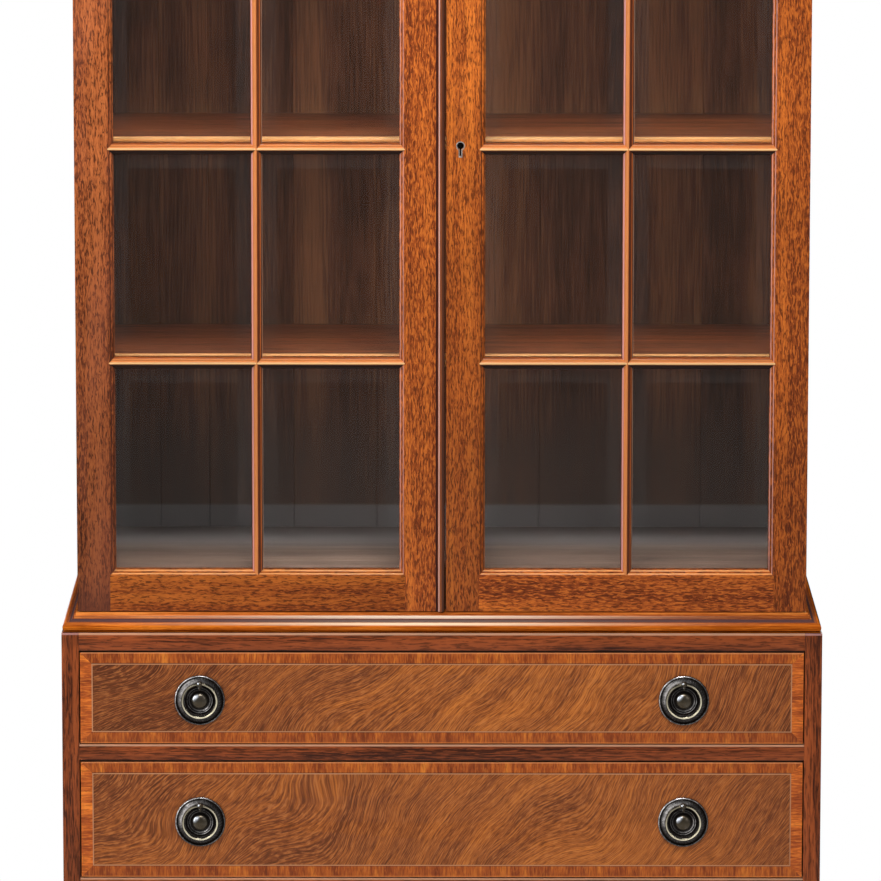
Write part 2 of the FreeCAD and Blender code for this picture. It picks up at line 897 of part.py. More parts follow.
def upper_sides():
    for name, side in (("upper_left_side", -1), ("upper_right_side", 1)):
        inner, outer = side * upper_inner, side * upper_half
        near, far = sorted((inner, outer), key=float)
        board = box(f"{name}_board", (near, y_case_front, z_base_top), (far, y_back, z_top_board))
        near, far = sorted((inner, side * (upper_inner + s.back_rebate)), key=float)
        tools = [box(f"{name}_rebate", (near, y_back_face, z_base_top), (far, y_back, z_top_board))]
        near, far = sorted((inner, side * (upper_inner + s.housing_depth)), key=float)
        y_floor = y_case_front + s.floor_rail_thick
        tools.append(box(
            f"{name}_housing", (near, y_floor, z_floor - s.case_board_thick), (far, y_back_face, z_floor),
        ))
        number = 0
        for peg_side, y_place, level in peg_places():
            if peg_side == side:
                number += 1
                start = inner if side > 0 else inner - s.peg_depth
                tools.append(rod(
                    f"{name}_peg_hole_{number}", "YZ", s.peg_radius, start, s.peg_depth, y_place, level,
                ))
        node(name, cut(f"{name}_cut", board, tools))


def shelf_pegs():
    pegs = []
    for number, (side, y_place, level) in enumerate(peg_places(), start=1):
        start, end = side * (upper_inner + s.peg_depth), side * (upper_inner - s.peg_reach)
        near, far = sorted((start, end), key=float)
        pegs.append(rod(f"peg_{number}", "YZ", s.peg_radius, near, far - near, y_place, level))
    node("shelf_pegs", pegs)


def upper_floor():
    thick = s.case_board_thick
    y_rail_back = y_case_front + s.floor_rail_thick
    reach = upper_inner + s.housing_depth
    shown = box(
        "floor_front", (-upper_inner, y_case_front, z_floor - thick), (upper_inner, y_rail_back, z_floor),
    )
    housed = box("floor_housed", (-reach, y_rail_back, z_floor - thick), (reach, y_back_face, z_floor))
    board = fuse("floor_board", [shown, housed])
    rail = box(
        "floor_rail",
        (-upper_inner, y_case_front, z_base_top),
        (upper_inner, y_rail_back, z_floor - thick),
    )
    node("upper_floor", [board, rail])


def shelves():
    """Loose shelves, each with two reeds worked on the front edge."""
    half = upper_inner - s.shelf_slack
    front, back = y_case_front + s.shelf_setback, y_back_face - s.shelf_slack
    radius, thick = s.reed_radius, s.shelf_thick
    nip = (thick - 4 * radius) / 3
    for name, top in SHELVES:
        low = top - thick
        reeds = [(back, low), (front + radius, low)]
        for start in (low + nip, low + 2 * nip + 2 * radius):
            reeds += [
                (front + radius, start),
                (front, start + radius, radius, CLOCKWISE),
                (front + radius, start + 2 * radius, radius, CLOCKWISE),
            ]
        reeds += [(front + radius, top), (back, top)]
        reeds.reverse()
        outline = turned_back(reeds)
        body = Carved(name)
        body.pad("YZ", [outline], -half, 2 * half)
        node(name, body.body)


def turned_back(corners):
    """Give each reversed corner the arc that used to lead away from it."""
    outline = []
    for index, corner in enumerate(corners):
        previous = corners[index - 1]
        arc = ()
        if len(previous) == 3:
            arc = (previous[2], CLOCKWISE)
        elif len(previous) == 4:
            arc = (previous[2],)
        outline.append((corner[0], corner[1]) + arc)
    return outline


# Doors

door_frame_width = (2 * upper_half - s.bead_width - s.meeting_gap) / 2
x_bead = -upper_half + door_frame_width
x_left_edge = x_bead + s.bead_width
x_right_edge = x_left_edge + s.meeting_gap
x_bolt = x_bead - s.bolt_inset
y_bolt = y_door_back - s.bolt_centre
column_width = (door_frame_width - 2 * s.stile_width - 2 * DOOR_COLUMNS * s.bar_half) / DOOR_COLUMNS
row_height = (s.door_height - 2 * s.door_rail_width - 2 * DOOR_ROWS * s.bar_half) / DOOR_ROWS
z_keyhole = z_door + s.door_height / 2

DOORS = (("left_door", -upper_half), ("right_door", x_right_edge))


def columns(x_door):
    """The sight edges of each column of panes."""
    edges = []
    left = x_door + s.stile_width + s.bar_half
    for _ in range(DOOR_COLUMNS):
        edges.append((left, left + column_width))
        left = left + column_width + 2 * s.bar_half
    return edges


def rows():
    """The sight edges of each row of panes, from the bottom."""
    edges = []
    low = z_door + s.door_rail_width + s.bar_half
    for _ in range(DOOR_ROWS):
        edges.append((low, low + row_height))
        low = low + row_height + 2 * s.bar_half
    return edges


def half_bar():
    """Moulding from the sight edge to a bar's middle: corners (from the middle, back)."""
    lip_back, lip = s.glass_plane, s.glass_plane - s.bar_lip
    quirk = s.bar_half - s.bar_quirk
    return [
        (s.bar_half, lip_back),
        (s.bar_half, lip),
        (quirk, lip),
        (quirk - s.bar_ovolo, lip - s.bar_ovolo, s.bar_ovolo, CLOCKWISE),
        (s.bar_nose, lip - s.bar_ovolo),
        (s.bar_nose, s.bar_top + s.bar_nose),
        (as_size(0), s.bar_top, s.bar_nose, CLOCKWISE),
    ]


def full_bar():
    """Section of a glazing bar: nose, two ovolos and the web between the panes."""
    right = half_bar()
    left = [(-corner[0], corner[1]) for corner in right]
    left.reverse()
    # Mirrored arcs lead away from the corners that they led to
    left = [(left[0][0], left[0][1])] + [
        (-mirror[0], mirror[1]) + tuple(before[2:])
        for mirror, before in zip(reversed(right[:-1]), reversed(right))
    ]
    web = [
        (-s.bar_half, s.glass_plane),
        (-s.web_half, s.glass_plane),
        (-s.web_half, s.web_depth),
        (s.web_half, s.web_depth),
        (s.web_half, s.glass_plane),
    ]
    return web + right + left[1:-1]


def edge_strip():
    """Half a bar's section, for the moulding worked on the frame itself."""
    return [
        (as_size(0), s.door_thick),
        (s.web_half, s.door_thick),
        (s.web_half, s.glass_plane),
    ] + half_bar()


def frame_stiles(name, x_door):
    """Two stiles with the moulding on their inner edges, notched where bars meet it."""
    pieces = []
    x_far = x_door + door_frame_width
    hinge_side = -1 if name == "left_door" else 1
    for side_name, side, edge in (("left", 1, x_door), ("right", -1, x_far)):
        flat = edge + side * s.stile_width
        sight = flat + side * s.bar_half
        is_hinged = side == -hinge_side
        label = f"{name}_{side_name}_stile_board"
        plan = stile_plan(edge, side, is_hinged)
        board = prism(label, "XY", plan, z_door, s.door_height)
        section = laid(edge_strip(), flat, y_door_front, across_sign=side)
        strip = prism(f"{name}_{side_name}_strip", "XY", section, z_door, s.door_height)
        notches = [(flat, z_door + s.door_rail_width)]
        for low, high in rows():
            notches += [(sight, low), (sight, high), (flat, high + s.bar_half)]
        block = prism(f"{name}_{side_name}_notches", "XZ", notches, y_door_front, s.door_thick)
        moulded = common(f"{name}_{side_name}_moulded", strip, block)
        whole = fuse(f"{name}_{side_name}_whole", [board, moulded])
        tools = [
            tenon(f"{name}_{side_name}_mortise_{end}", flat, -side, level)
            for end, level in rail_levels()
        ]
        if is_hinged:
            tools += hinge_cuts(f"{name}_{side_name}", side, edge)
        elif name == "left_door":
            tools += bolt_cuts()
        else:
            tools += lock_cuts()
        pieces.append(cut(f"{name}_{side_name}_stile", whole, tools))
    node(f"{name}_stiles", pieces)


def stile_plan(edge, side, is_hinged):
    """Plan of a stile. Its outer back edge is eased where it turns past the case."""
    width, thick = s.stile_width, s.door_thick
    ease = s.edge_ease
    plan = [(0, 0), (width, 0), (width, thick)]
    plan += [(ease, thick), (0, thick - ease, ease)] if is_hinged else [(0, thick)]
    return laid(plan, edge, y_door_front, across_sign=side)


def rail_levels():
    return (("bottom", z_door), ("top", z_door_top - s.door_rail_width))


def tenon(label, flat, side, level):
    """The tenon of a rail, which runs from a stile's flat edge into the stile."""
    margin = s.door_rail_width / 5
    y_low = y_door_front + s.glass_plane
    near, far = sorted((flat, flat + side * s.tenon_length), key=float)
    return box(
        label,
        (near, y_low, level + margin),
        (far, y_low + s.tenon_thick, level + s.door_rail_width - margin),
    )


def frame_rails(name, x_door):
    """Top and bottom rails between the stiles, with tenons and the same moulding."""
    pieces = []
    left, right = x_door + s.stile_width, x_door + door_frame_width - s.stile_width
    for end, low in rail_levels():
        side = 1 if end == "bottom" else -1
        flat = low + s.door_rail_width if side > 0 else low
        sight = flat + side * s.bar_half
        board = box(
            f"{name}_{end}_rail_board",
            (left, y_door_front, low),
            (right, y_door_back, low + s.door_rail_width),
        )
        section = laid(edge_strip(), flat, y_door_front, across_sign=side, swapped=True)
        strip = prism(f"{name}_{end}_strip", "YZ", section, left, right - left)
        notches = [(left, flat)]
        for near, far in columns(x_door):
            notches += [(near, sight), (far, sight), (far + s.bar_half, flat)]
        block = prism(f"{name}_{end}_notches", "XZ", notches, y_door_front, s.door_thick)
        moulded = common(f"{name}_{end}_moulded", strip, block)
        tenons = [
            tenon(f"{name}_{end}_tenon_left", left, -1, low),
            tenon(f"{name}_{end}_tenon_right", right, 1, low),
        ]
        pieces.append(fuse(f"{name}_{end}_rail", [board, moulded] + tenons))
    node(f"{name}_rails", pieces)


def glazing_bars(name, x_door):
    """One upright bar and short level bars, all with mitred ends."""
    centre = columns(x_door)[0][1] + s.bar_half
    z_low, z_high = z_door + s.door_rail_width, z_door_top - s.door_rail_width
    section = laid(full_bar(), centre, y_door_front)
    strip = prism(f"{name}_upright_strip", "XY", section, z_low, z_high - z_low)
    right, left_side = [], []
    for number, (low, high) in enumerate(rows(), start=1):
        low_neck = 0 if number == 1 else s.bar_neck
        high_neck = 0 if number == DOOR_ROWS else s.bar_neck
        points = [
            (low_neck, low - s.bar_half + low_neck),
            (s.bar_half, low),
            (s.bar_half, high),
            (high_neck, high + s.bar_half - high_neck),
        ]
        right += [(centre + across, level) for across, level in points]
        left_side += [(centre - across, level) for across, level in points]
    outline = right + left_side[-2:0:-1]
    block = prism(f"{name}_upright_outline", "XZ", outline, y_door_front, s.door_thick)
    upright = common(f"{name}_upright_mitred", strip, block)
    web = box(
        f"{name}_web",
        (centre - s.web_half, y_door_front + s.glass_plane, z_low + s.bar_half),
        (centre + s.web_half, y_door_front + s.web_depth, z_high - s.bar_half),
    )
    pieces = [fuse(f"{name}_upright_bar", [upright, web])]
    for row, (_, high) in enumerate(rows()[:-1], start=1):
        level = high + s.bar_half
        neck = box(
            f"{name}_neck_{row}",
            (centre - s.bar_neck, y_door_front, level - s.bar_neck),
            (centre + s.bar_neck, y_door_back, level + s.bar_neck),
        )
        for column, (near, far) in enumerate(columns(x_door), start=1):
            section = laid(full_bar(), level, y_door_front, swapped=True)
            strip = prism(
                f"{name}_level_strip_{row}_{column}",
                "YZ",
                section,
                near - s.bar_half,
                far - near + 2 * s.bar_half,
            )
            outline = [
                (near - s.bar_half, level),
                (near, level - s.bar_half),
                (far, level - s.bar_half),
                (far + s.bar_half, level),
                (far, level + s.bar_half),
                (near, level + s.bar_half),
            ]
            lozenge = prism(f"{name}_level_ends_{row}_{column}", "XZ", outline, y_door_front, s.door_thick)
            bar = common(f"{name}_level_whole_{row}_{column}", strip, lozenge)
            pieces.append(cut(f"{name}_level_bar_{row}_{column}", bar, [web, neck]))
    node(f"{name}_glazing_bars", pieces)


def panes(name, x_door):
    """Plate glass with a wide bevel on the front, and the beads that hold it."""
    glass, beads = [], []
    reach = s.bar_half - s.web_half - s.pane_slack
    y_glass = y_door_front + s.glass_plane
    bevel_rise = s.glass_thick - s.glass_edge
    for row, (low, high) in enumerate(rows(), start=1):
        for column, (near, far) in enumerate(columns(x_door), start=1):
            label = f"{name}_pane_{row}_{column}"
            x_low, x_high, z_low, z_high = near - reach, far + reach, low - reach, high + reach
            plate = box(
                f"{label}_plate",
                (x_low, y_glass + bevel_rise, z_low),
                (x_high, y_glass + s.glass_thick, z_high),
            )
            bevel = doc.addObject("Part::Wedge", f"{label}_bevel")
            inset = s.bevel_width + reach
            limits = {
                "Xmin": 0, "Zmin": 0, "Ymin": 0,
                "Xmax": x_high - x_low, "Zmax": z_high - z_low, "Ymax": bevel_rise,
                "X2min": inset, "Z2min": inset,
                "X2max": x_high - x_low - inset, "Z2max": z_high - z_low - inset,
            }
            for limit, size in limits.items():
                bind(bevel, limit, size)
            bevel.Placement = FreeCAD.Placement(
                FreeCAD.Vector(), FreeCAD.Rotation(FreeCAD.Vector(0, 0, 1), 180),
            )
            move_to(bevel, x_high, y_glass + bevel_rise, z_low)
            glass.append(fuse(label, [plate, bevel]))
            y_low, y_high = y_glass + s.glass_thick, y_glass + s.glass_thick + s.glazing_bead
            outer = s.bar_half - s.web_half
            outer_box = box(
                f"{label}_bead_outer",
                (near - outer, y_low, low - outer),
                (far + outer, y_high, high + outer),
            )
            hole = box(
                f"{label}_bead_hole",
                (near, y_low - s.overrun, low),
                (far, y_high + s.overrun, high),
            )
            beads.append(cut(f"{label}_bead", outer_box, [hole]))
    node(f"{name}_panes", glass)
    node(f"{name}_glazing_beads", beads)


def meeting_bead():
    """The proud round strip on the left door's edge, mortised for the lock bolt."""
    width, proud = s.bead_width, s.bead_proud
    radius = (width * width / 4 + proud * proud) / (2 * proud)
    plan = [
        (x_bead, y_door_back),
        (x_bead, y_door_front),
        (x_left_edge, y_door_front, radius),
        (x_left_edge, y_door_back),
    ]
    strip = prism("meeting_strip", "XY", plan, z_door, s.door_height)
    half, y_bolt_low = s.lock_bolt_half + s.strike_margin, y_lock_bolt - s.strike_margin
    y_bolt_high = y_lock_bolt + s.lock_bolt_thick + s.strike_margin
    mortise = box(
        "strike_mortise",
        (x_bead, y_bolt_low, z_keyhole - half),
        (x_left_edge, y_bolt_high, z_keyhole + half),
    )
    recess = strike_box("strike_recess")
    node("left_door_meeting_bead", cut("meeting_bead_cut", strip, [mortise, recess]))


def strike_box(label):
    y_low = y_lock_bolt - s.strike_margin - s.lock_wall
    y_high = y_lock_bolt + s.lock_bolt_thick + s.strike_margin + s.lock_wall
    return box(
        label,
        (x_left_edge - s.lock_wall, y_low, z_keyhole - s.strike_height / 2),
        (x_left_edge, y_high, z_keyhole + s.strike_height / 2),
    )


# Pivot hinges

y_pivot = y_door_front + s.door_thick / 2


def hinge_ends():
    """Each end of the doors: name, the case's face, the door's face, and the way to it."""
    return (("bottom", z_base_top, z_door, 1), ("top", z_top_board, z_door_top, -1))


def rod_between(label, radius, start, end, x_place, y_place):
    low, high = sorted((start, end), key=float)
    return rod(label, "XY", radius, low, high - low, x_place, y_place)


def plate_between(label, plan_low, plan_high, start, end):
    low, high = sorted((start, end), key=float)
    return box(label, (plan_low[0], plan_low[1], low), (plan_high[0], plan_high[1], high))


def leaf_span(side):
    outer = side * upper_half
    near, far = sorted((outer, outer - side * s.leaf_length), key=float)
    return (near, y_pivot - s.leaf_half), (far, y_pivot + s.leaf_half)


def hinge_cuts(label, side, edge):
    """Recesses for the leaves at both ends of a hinge stile, and the pin's sockets."""
    cuts = []
    x_pivot = edge + side * s.pivot_inset
    radius = s.pivot_radius + s.socket_clearance
    for end, _, z_face, way in hinge_ends():
        low, high = leaf_span(-side)
        inner = z_face + way * s.leaf_thick
        cuts.append(plate_between(f"{label}_{end}_leaf_recess", low, high, z_face, inner))
        deep = inner + way * (s.pivot_length + s.socket_clearance)
        cuts.append(rod_between(f"{label}_{end}_pin_socket", radius, z_face, deep, x_pivot, y_pivot))
    return cuts


def hinge_leaves():
    """Fixed leaves with their pins, and the doors' own leaves that turn on them."""
    fixed = []
    for door_name, side in (("left_door", -1), ("right_door", 1)):
        moving = []
        x_pivot = side * (upper_half - s.pivot_inset)
        low, high = leaf_span(side)
        for end, z_case, z_face, way in hinge_ends():
            label = f"{door_name}_{end}"
            plate = plate_between(f"{label}_fixed_plate", low, high, z_case - way * s.leaf_thick, z_case)
            boss = rod_between(
                f"{label}_boss", s.boss_radius, z_case, z_face - way * s.boss_gap, x_pivot, y_pivot,
            )
            tip = z_face + way * (s.leaf_thick + s.pivot_length)
            pin = rod_between(f"{label}_pin", s.pivot_radius, z_case, tip, x_pivot, y_pivot)
            fixed.append(fuse(f"{label}_fixed_leaf", [plate, boss, pin]))
            leaf = plate_between(f"{label}_leaf_plate", low, high, z_face, z_face + way * s.leaf_thick)
            radius = s.pivot_radius + s.pivot_clearance
            start, end_level = z_face - way * s.overrun, z_face + way * (s.leaf_thick + s.overrun)
            hole = rod_between(f"{label}_leaf_hole", radius, start, end_level, x_pivot, y_pivot)
            moving.append(cut(f"{label}_leaf", leaf, [hole]))
        node(f"{door_name}_hinge_leaves", moving)
    node("case_hinge_leaves", fixed)


# Bolts at the top and bottom of the left door

def bolt_ends():
    """Each bolt: its name, the door's end face and the way into the door."""
    return (("bottom", z_door, 1), ("top", z_door_top, -1))


def bolt_cuts():
    """The groove behind each bolt, and the seat of its plate."""
    cuts = []
    groove = s.bolt_radius + s.bolt_groove
    half, thick = s.bolt_plate_half, s.bolt_plate_thick
    for end, z_face, way in bolt_ends():
        low = (x_bolt - groove, y_bolt - groove)
        high = (x_bolt + groove, y_door_back)
        deep = z_face + way * (s.bolt_length + s.bolt_travel)
        cuts.append(plate_between(f"{end}_bolt_groove", low, high, z_face, deep))
        low, high = (x_bolt - half, y_door_back - thick), (x_bolt + half, y_door_back)
        far = z_face + way * s.bolt_plate_length
        cuts.append(plate_between(f"{end}_plate_seat", low, high, z_face, far))
        low, high = (x_bolt - half, y_bolt - half), (x_bolt + half, y_door_back)
        cuts.append(plate_between(f"{end}_foot_seat", low, high, z_face, z_face + way * thick))
    return cuts


def bolts():
    """Each bolt is drawn back at rest. Its plate is let in flush with the door."""
    plates = []
    half, thick = s.bolt_plate_half, s.bolt_plate_thick
    for end, z_face, way in bolt_ends():
        tip = z_face + way * s.bolt_back
        shaft = rod_between(
            f"{end}_bolt_shaft", s.bolt_radius, tip, tip + way * s.bolt_length, x_bolt, y_bolt,
        )
        z_knob = z_face + way * s.knob_from_end
        stem_length = y_door_back + s.knob_stem - y_bolt
        stem = rod(f"{end}_bolt_stem", "XZ", s.knob_stem, y_bolt, stem_length, x_bolt, z_knob)
        knob_start = y_door_back + s.bolt_plate_clearance
        knob = rod(f"{end}_bolt_knob", "XZ", s.knob_radius, knob_start, s.knob_length, x_bolt, z_knob)
        node(f"left_door_{end}_bolt", fuse(f"{end}_bolt", [shaft, stem, knob]))
        low, high = (x_bolt - half, y_door_back - thick), (x_bolt + half, y_door_back)
        back = plate_between(f"{end}_plate_back", low, high, z_face, z_face + way * s.bolt_plate_length)
        low = (x_bolt - half, y_bolt - half)
        foot = plate_between(f"{end}_plate_foot", low, high, z_face, z_face + way * thick)
        whole = fuse(f"{end}_plate_whole", [back, foot])
        start, stop = z_face - way * s.overrun, z_face + way * (thick + s.overrun)
        hole = rod_between(f"{end}_plate_hole", s.bolt_radius + s.bolt_clearance, start, stop, x_bolt, y_bolt)
        stem_room = s.knob_stem + s.bolt_plate_clearance
        low = (x_bolt - stem_room, y_door_back - thick - s.overrun)
        high = (x_bolt + stem_room, y_door_back + s.overrun)
        near, far = z_knob - way * (s.bolt_travel + stem_room), z_knob + way * stem_room
        slot = plate_between(f"{end}_plate_slot", low, high, near, far)
        plates.append(cut(f"{end}_bolt_plate", whole, [hole, slot]))
    strike = strike_box("strike_plate_blank")
    margin = s.strike_margin / 2
    mortise = box(
        "strike_plate_hole",
        (x_left_edge - s.lock_wall - s.overrun, y_lock_bolt - margin, z_keyhole - s.lock_bolt_half - margin),
        (
            x_left_edge + s.overrun,
            y_lock_bolt + s.lock_bolt_thick + margin,
            z_keyhole + s.lock_bolt_half + margin,
        ),
    )
    plates.append(cut("strike_plate", strike, [mortise]))
    node("left_door_bolt_plates", plates)


# Lock in the right door

x_keyhole = x_right_edge + s.keyhole_inset
y_lock = y_door_back - s.lock_depth
y_lock_bolt = y_lock + (s.lock_depth - s.lock_bolt_thick) / 2


def keyhole_outline(grow):
    """A pointed-round head over a narrow foot, grown by the rim's width."""
    head = s.keyhole_width / 2 - s.escutcheon_rim + grow
    foot = s.keyhole_foot / 2 - s.escutcheon_rim + grow
    top = z_keyhole + s.keyhole_height / 2 - s.escutcheon_rim + grow
    low = z_keyhole - s.keyhole_height / 2 + s.escutcheon_rim - grow
    waist = z_keyhole - foot / 2
    return [
        (x_keyhole - foot, low),
        (x_keyhole + foot, low),
        (x_keyhole + foot, waist),
        (x_keyhole + head, top - head, head * SOFT_ROUND_SHARE),
        (x_keyhole, top, head),
        (x_keyhole - head, top - head, head),
        (x_keyhole - foot, waist, head * SOFT_ROUND_SHARE),
    ]


def lock_cuts():
    """The mortise for the lock case, and the keyhole through the stile."""
    half = s.lock_height / 2
    low = (x_right_edge, y_lock, z_keyhole - half)
    high = (x_right_edge + s.lock_width, y_door_back, z_keyhole + half)
    hole = prism("stile_keyhole", "XZ", keyhole_outline(as_size(0)), y_door_front, y_lock - y_door_front)
    rim = prism("stile_rim_seat", "XZ", keyhole_outline(s.escutcheon_rim), y_door_front, s.escutcheon_depth)
    return [box("lock_mortise", low, high), hole, rim]


def lock():
    half, wall = s.lock_height / 2, s.lock_wall
    x_low, x_high = x_right_edge, x_right_edge + s.lock_width
    shell = box("lock_shell", (x_low, y_lock, z_keyhole - half), (x_high, y_door_back, z_keyhole + half))
    room = box(
        "lock_room",
        (x_low + wall, y_lock + wall, z_keyhole - half + wall),
        (x_high - wall, y_door_back - wall, z_keyhole + half - wall),
    )
    clear = s.lock_bolt_clearance
    y_low, y_high = y_lock_bolt - clear, y_lock_bolt + s.lock_bolt_thick + clear
    z_low, z_high = z_keyhole - s.lock_bolt_half - clear, z_keyhole + s.lock_bolt_half + clear
    slot = box("lock_slot", (x_low - s.overrun, y_low, z_low), (x_low + wall + s.overrun, y_high, z_high))
    keyway = prism("lock_keyway", "XZ", keyhole_outline(as_size(0)), y_lock - s.overrun, wall + 2 * s.overrun)
    node("right_door_lock_case", cut("lock_case", shell, [room, slot, keyway]))
    tip = x_right_edge + s.lock_bolt_back
    node("right_door_lock_bolt", box(
        "lock_bolt",
        (tip, y_lock_bolt, z_keyhole - s.lock_bolt_half),
        (tip + s.lock_bolt_length, y_lock_bolt + s.lock_bolt_thick, z_keyhole + s.lock_bolt_half),
    ))
    body = Carved("right_door_escutcheon")
    outlines = [keyhole_outline(s.escutcheon_rim), keyhole_outline(as_size(0))]
    body.pad("XZ", outlines, y_door_front, s.escutcheon_depth)
    node("right_door_escutcheon", body.body)


# Drawers

drawer_half = lower_inner - s.drawer_gap
y_core = y_lower_front + s.veneer_thick
y_front_back = y_lower_front + s.drawer_front_thick
y_drawer_end = y_lower_front + s.drawer_length


def ring_of_strips(label, left, low, right, high, width, start, thick):
    """Four strips round a rectangle, mitred at its corners."""
    outlines = {
        "bottom": [(left, low), (right, low), (right - width, low + width), (left + width, low + width)],
        "right": [(right, low), (right, high), (right - width, high - width), (right - width, low + width)],
        "top": [(right, high), (left, high), (left + width, high - width), (right - width, high - width)],
        "left": [(left, high), (left, low), (left + width, low + width), (left + width, high - width)],
    }
    return [prism(f"{label}_{edge}", "XZ", outline, start, thick) for edge, outline in outlines.items()]


def side_outline(low, high):
    """A drawer side in elevation, with dovetails on its front end."""
    y_root, y_tip = y_front_back, y_front_back - s.tail_depth
    height = high - low
    count = max(2, round(float(height) / float(s.tail_pitch)))
    pitch = height / count
    waist = pitch / 4
    outline = [(y_root, low)]
    for index in range(count):
        foot = low + index * pitch
        outline += [
            (y_root, foot + waist),
            (y_tip, foot + waist - s.tail_slope),
            (y_tip, foot + pitch - waist + s.tail_slope),
            (y_root, foot + pitch - waist),
        ]
    outline += [(y_root, high), (y_drawer_end, high), (y_drawer_end, low)]
    return outline


def drawer(name, z_opening, z_low, z_high):
    """Front with its veneers, box with dovetailed sides, and bottom board."""
    label = f"{name}_drawer"
    low, high = z_opening + s.runner_clearance, z_high - s.drawer_side_drop
    z_bottom = low + s.drawer_bottom_rise
    inner = drawer_half - s.drawer_side_thick
    groove = s.drawer_groove
    bottom = box(
        f"{label}_bottom_board",
        (-inner - groove, y_front_back - groove, z_bottom),
        (inner + groove, y_drawer_end, z_bottom + s.drawer_bottom_thick),
    )
    sides = []
    for side_name, side in (("left", -1), ("right", 1)):
        start = -drawer_half if side < 0 else inner
        board = prism(
            f"{label}_{side_name}_outline", "YZ", side_outline(low, high), start, s.drawer_side_thick,
        )
        sides.append(cut(f"{label}_{side_name}_side", board, [bottom]))
    back = box(
        f"{label}_back",
        (-inner, y_drawer_end - s.drawer_side_thick, z_bottom + s.drawer_bottom_thick),
        (inner, y_drawer_end, high - s.drawer_back_drop),
    )
    z_pull = (z_low + z_high) / 2 - s.pull_drop
    core = box(f"{label}_core", (-drawer_half, y_core, z_low), (drawer_half, y_front_back, z_high))
    holes = []
    for side_name, side in (("left", -1), ("right", 1)):
        x_pull = side * (lower_half - s.pull_inset)
        length = s.drawer_front_thick + s.overrun
        holes.append(rod(
            f"{label}_{side_name}_knop_hole", "XZ", s.shank_radius, y_lower_front, length, x_pull, z_pull,
        ))
        z_post = z_pull + s.ring_radius
        holes.append(rod(
            f"{label}_{side_name}_post_hole",
            "XZ",
            s.shank_radius,
            y_lower_front,
            s.post_depth,
            x_pull,
            z_post,
        ))
    pieces = [cut(f"{label}_board", core, sides + [bottom] + holes)]
    band, string = s.crossband_width, s.string_width
    pieces += ring_of_strips(
        f"{label}_crossband", -drawer_half, z_low, drawer_half, z_high, band, y_lower_front, s.veneer_thick,
    )
    pieces += ring_of_strips(
        f"{label}_string", -drawer_half + band, z_low + band, drawer_half - band, z_high - band, string,
        y_lower_front, s.veneer_thick,
    )
    inset = band + string
    field = box(
        f"{label}_field_blank",
        (-drawer_half + inset, y_lower_front, z_low + inset),
        (drawer_half - inset, y_core, z_high - inset),
    )
    pieces.append(cut(f"{label}_field", field, holes))
    node(f"{label}_front", pieces)
    node(f"{label}_box", sides + [back])
    node(f"{label}_bottom", bottom)
    pulls(label, z_pull)


def pulls(label, z_pull):
    """Two ring pulls: plate, knop with its nut, ring post, and the ring itself."""
    fixed = []
    for side_name, side in (("left", -1), ("right", 1)):
        x_pull = side * (lower_half - s.pull_inset)
        name = f"{label}_{side_name}"
        fixed += [
            pull_plate(name, x_pull, z_pull),
            pull_knop(name, x_pull, z_pull),
            pull_nut(name, x_pull, z_pull),
        ]
        fixed.append(pull_post(name, x_pull, z_pull))
        ring = doc.addObject("Part::Torus", f"{name}_ring_wire")
        bind(ring, "Radius1", s.ring_radius)
        bind(ring, "Radius2", s.ring_wire)
        ring.Placement = FreeCAD.Placement(FreeCAD.Vector(), FreeCAD.Rotation(FreeCAD.Vector(1, 0, 0), 90))
        move_to(ring, x_pull, y_lower_front - s.ring_stand, z_pull)
        node(f"{name}_ring", ring)
    node(f"{label}_pull_plates", fixed)


def pull_plate(name, x_pull, z_pull):
    """A thin dished plate with a raised rim, turned round its own middle."""
    radius, rim, thick = s.plate_radius, s.plate_rim, s.plate_thick
    rise, dish, step = s.plate_rim_rise, s.dish_radius, s.dish_step
    body = Carved(f"{name}_plate")
    bead = rise * FULL_ROUND_SHARE
    body.revolve([
        (s.shank_radius, 0),
        (s.shank_radius, -thick),
        (dish - 2 * step, -thick),
        (dish - step, -thick - s.dish_rise / 2, 2 * step, CLOCKWISE),
        (dish - step / 2, -thick - s.dish_rise, s.dish_rise),
        (dish, -thick - s.dish_rise / 2, s.dish_rise),
        (dish, -thick),
        (radius - rim, -thick),
        (radius - rim / 2, -thick - rise, bead),
        (radius, -thick, bead),
        (radius, 0),
    ])
    body.pocket(
        "XZ",
        [(0, s.ring_radius, s.shank_radius)],
        -thick - rise - s.overrun,
        thick + rise + 2 * s.overrun,
    )
    move_to(body.body, x_pull, y_lower_front, z_pull)
    return body.body


def pull_knop(name, x_pull, z_pull):
    """The domed knop and its shank, which holds the plate through the drawer front."""
    radius, shank, thick = s.knop_radius, s.shank_radius, s.plate_thick
    collar = thick + s.knop_collar
    dome = s.knop_height - s.knop_collar
    dome_radius = (radius * radius + dome * dome) / (2 * dome)
    body = Carved(f"{name}_knop")
    end = s.drawer_front_thick + s.nut_thick
    body.revolve([
        (0, end),
        (0, -collar - dome),
        (radius, -collar, dome_radius),
        (radius, -thick),
        (shank, -thick),
        (shank, end),
    ])
    move_to(body.body, x_pull, y_lower_front, z_pull)
    return body.body


def pull_nut(name, x_pull, z_pull):
    nut = doc.addObject("Part::Prism", f"{name}_nut_blank")
    nut.Polygon = 6
    bind(nut, "Circumradius", s.nut_radius)
    bind(nut, "Height", s.nut_thick)
    nut.Placement = FreeCAD.Placement(FreeCAD.Vector(), FreeCAD.Rotation(FreeCAD.Vector(1, 0, 0), -90))
    move_to(nut, x_pull, y_front_back, z_pull)
    hole = rod(
        f"{name}_nut_hole",
        "XZ",
        s.shank_radius,
        y_front_back - s.overrun,
        s.nut_thick + 2 * s.overrun,
        x_pull,
        z_pull,
    )
    return cut(f"{name}_nut", nut, [hole])


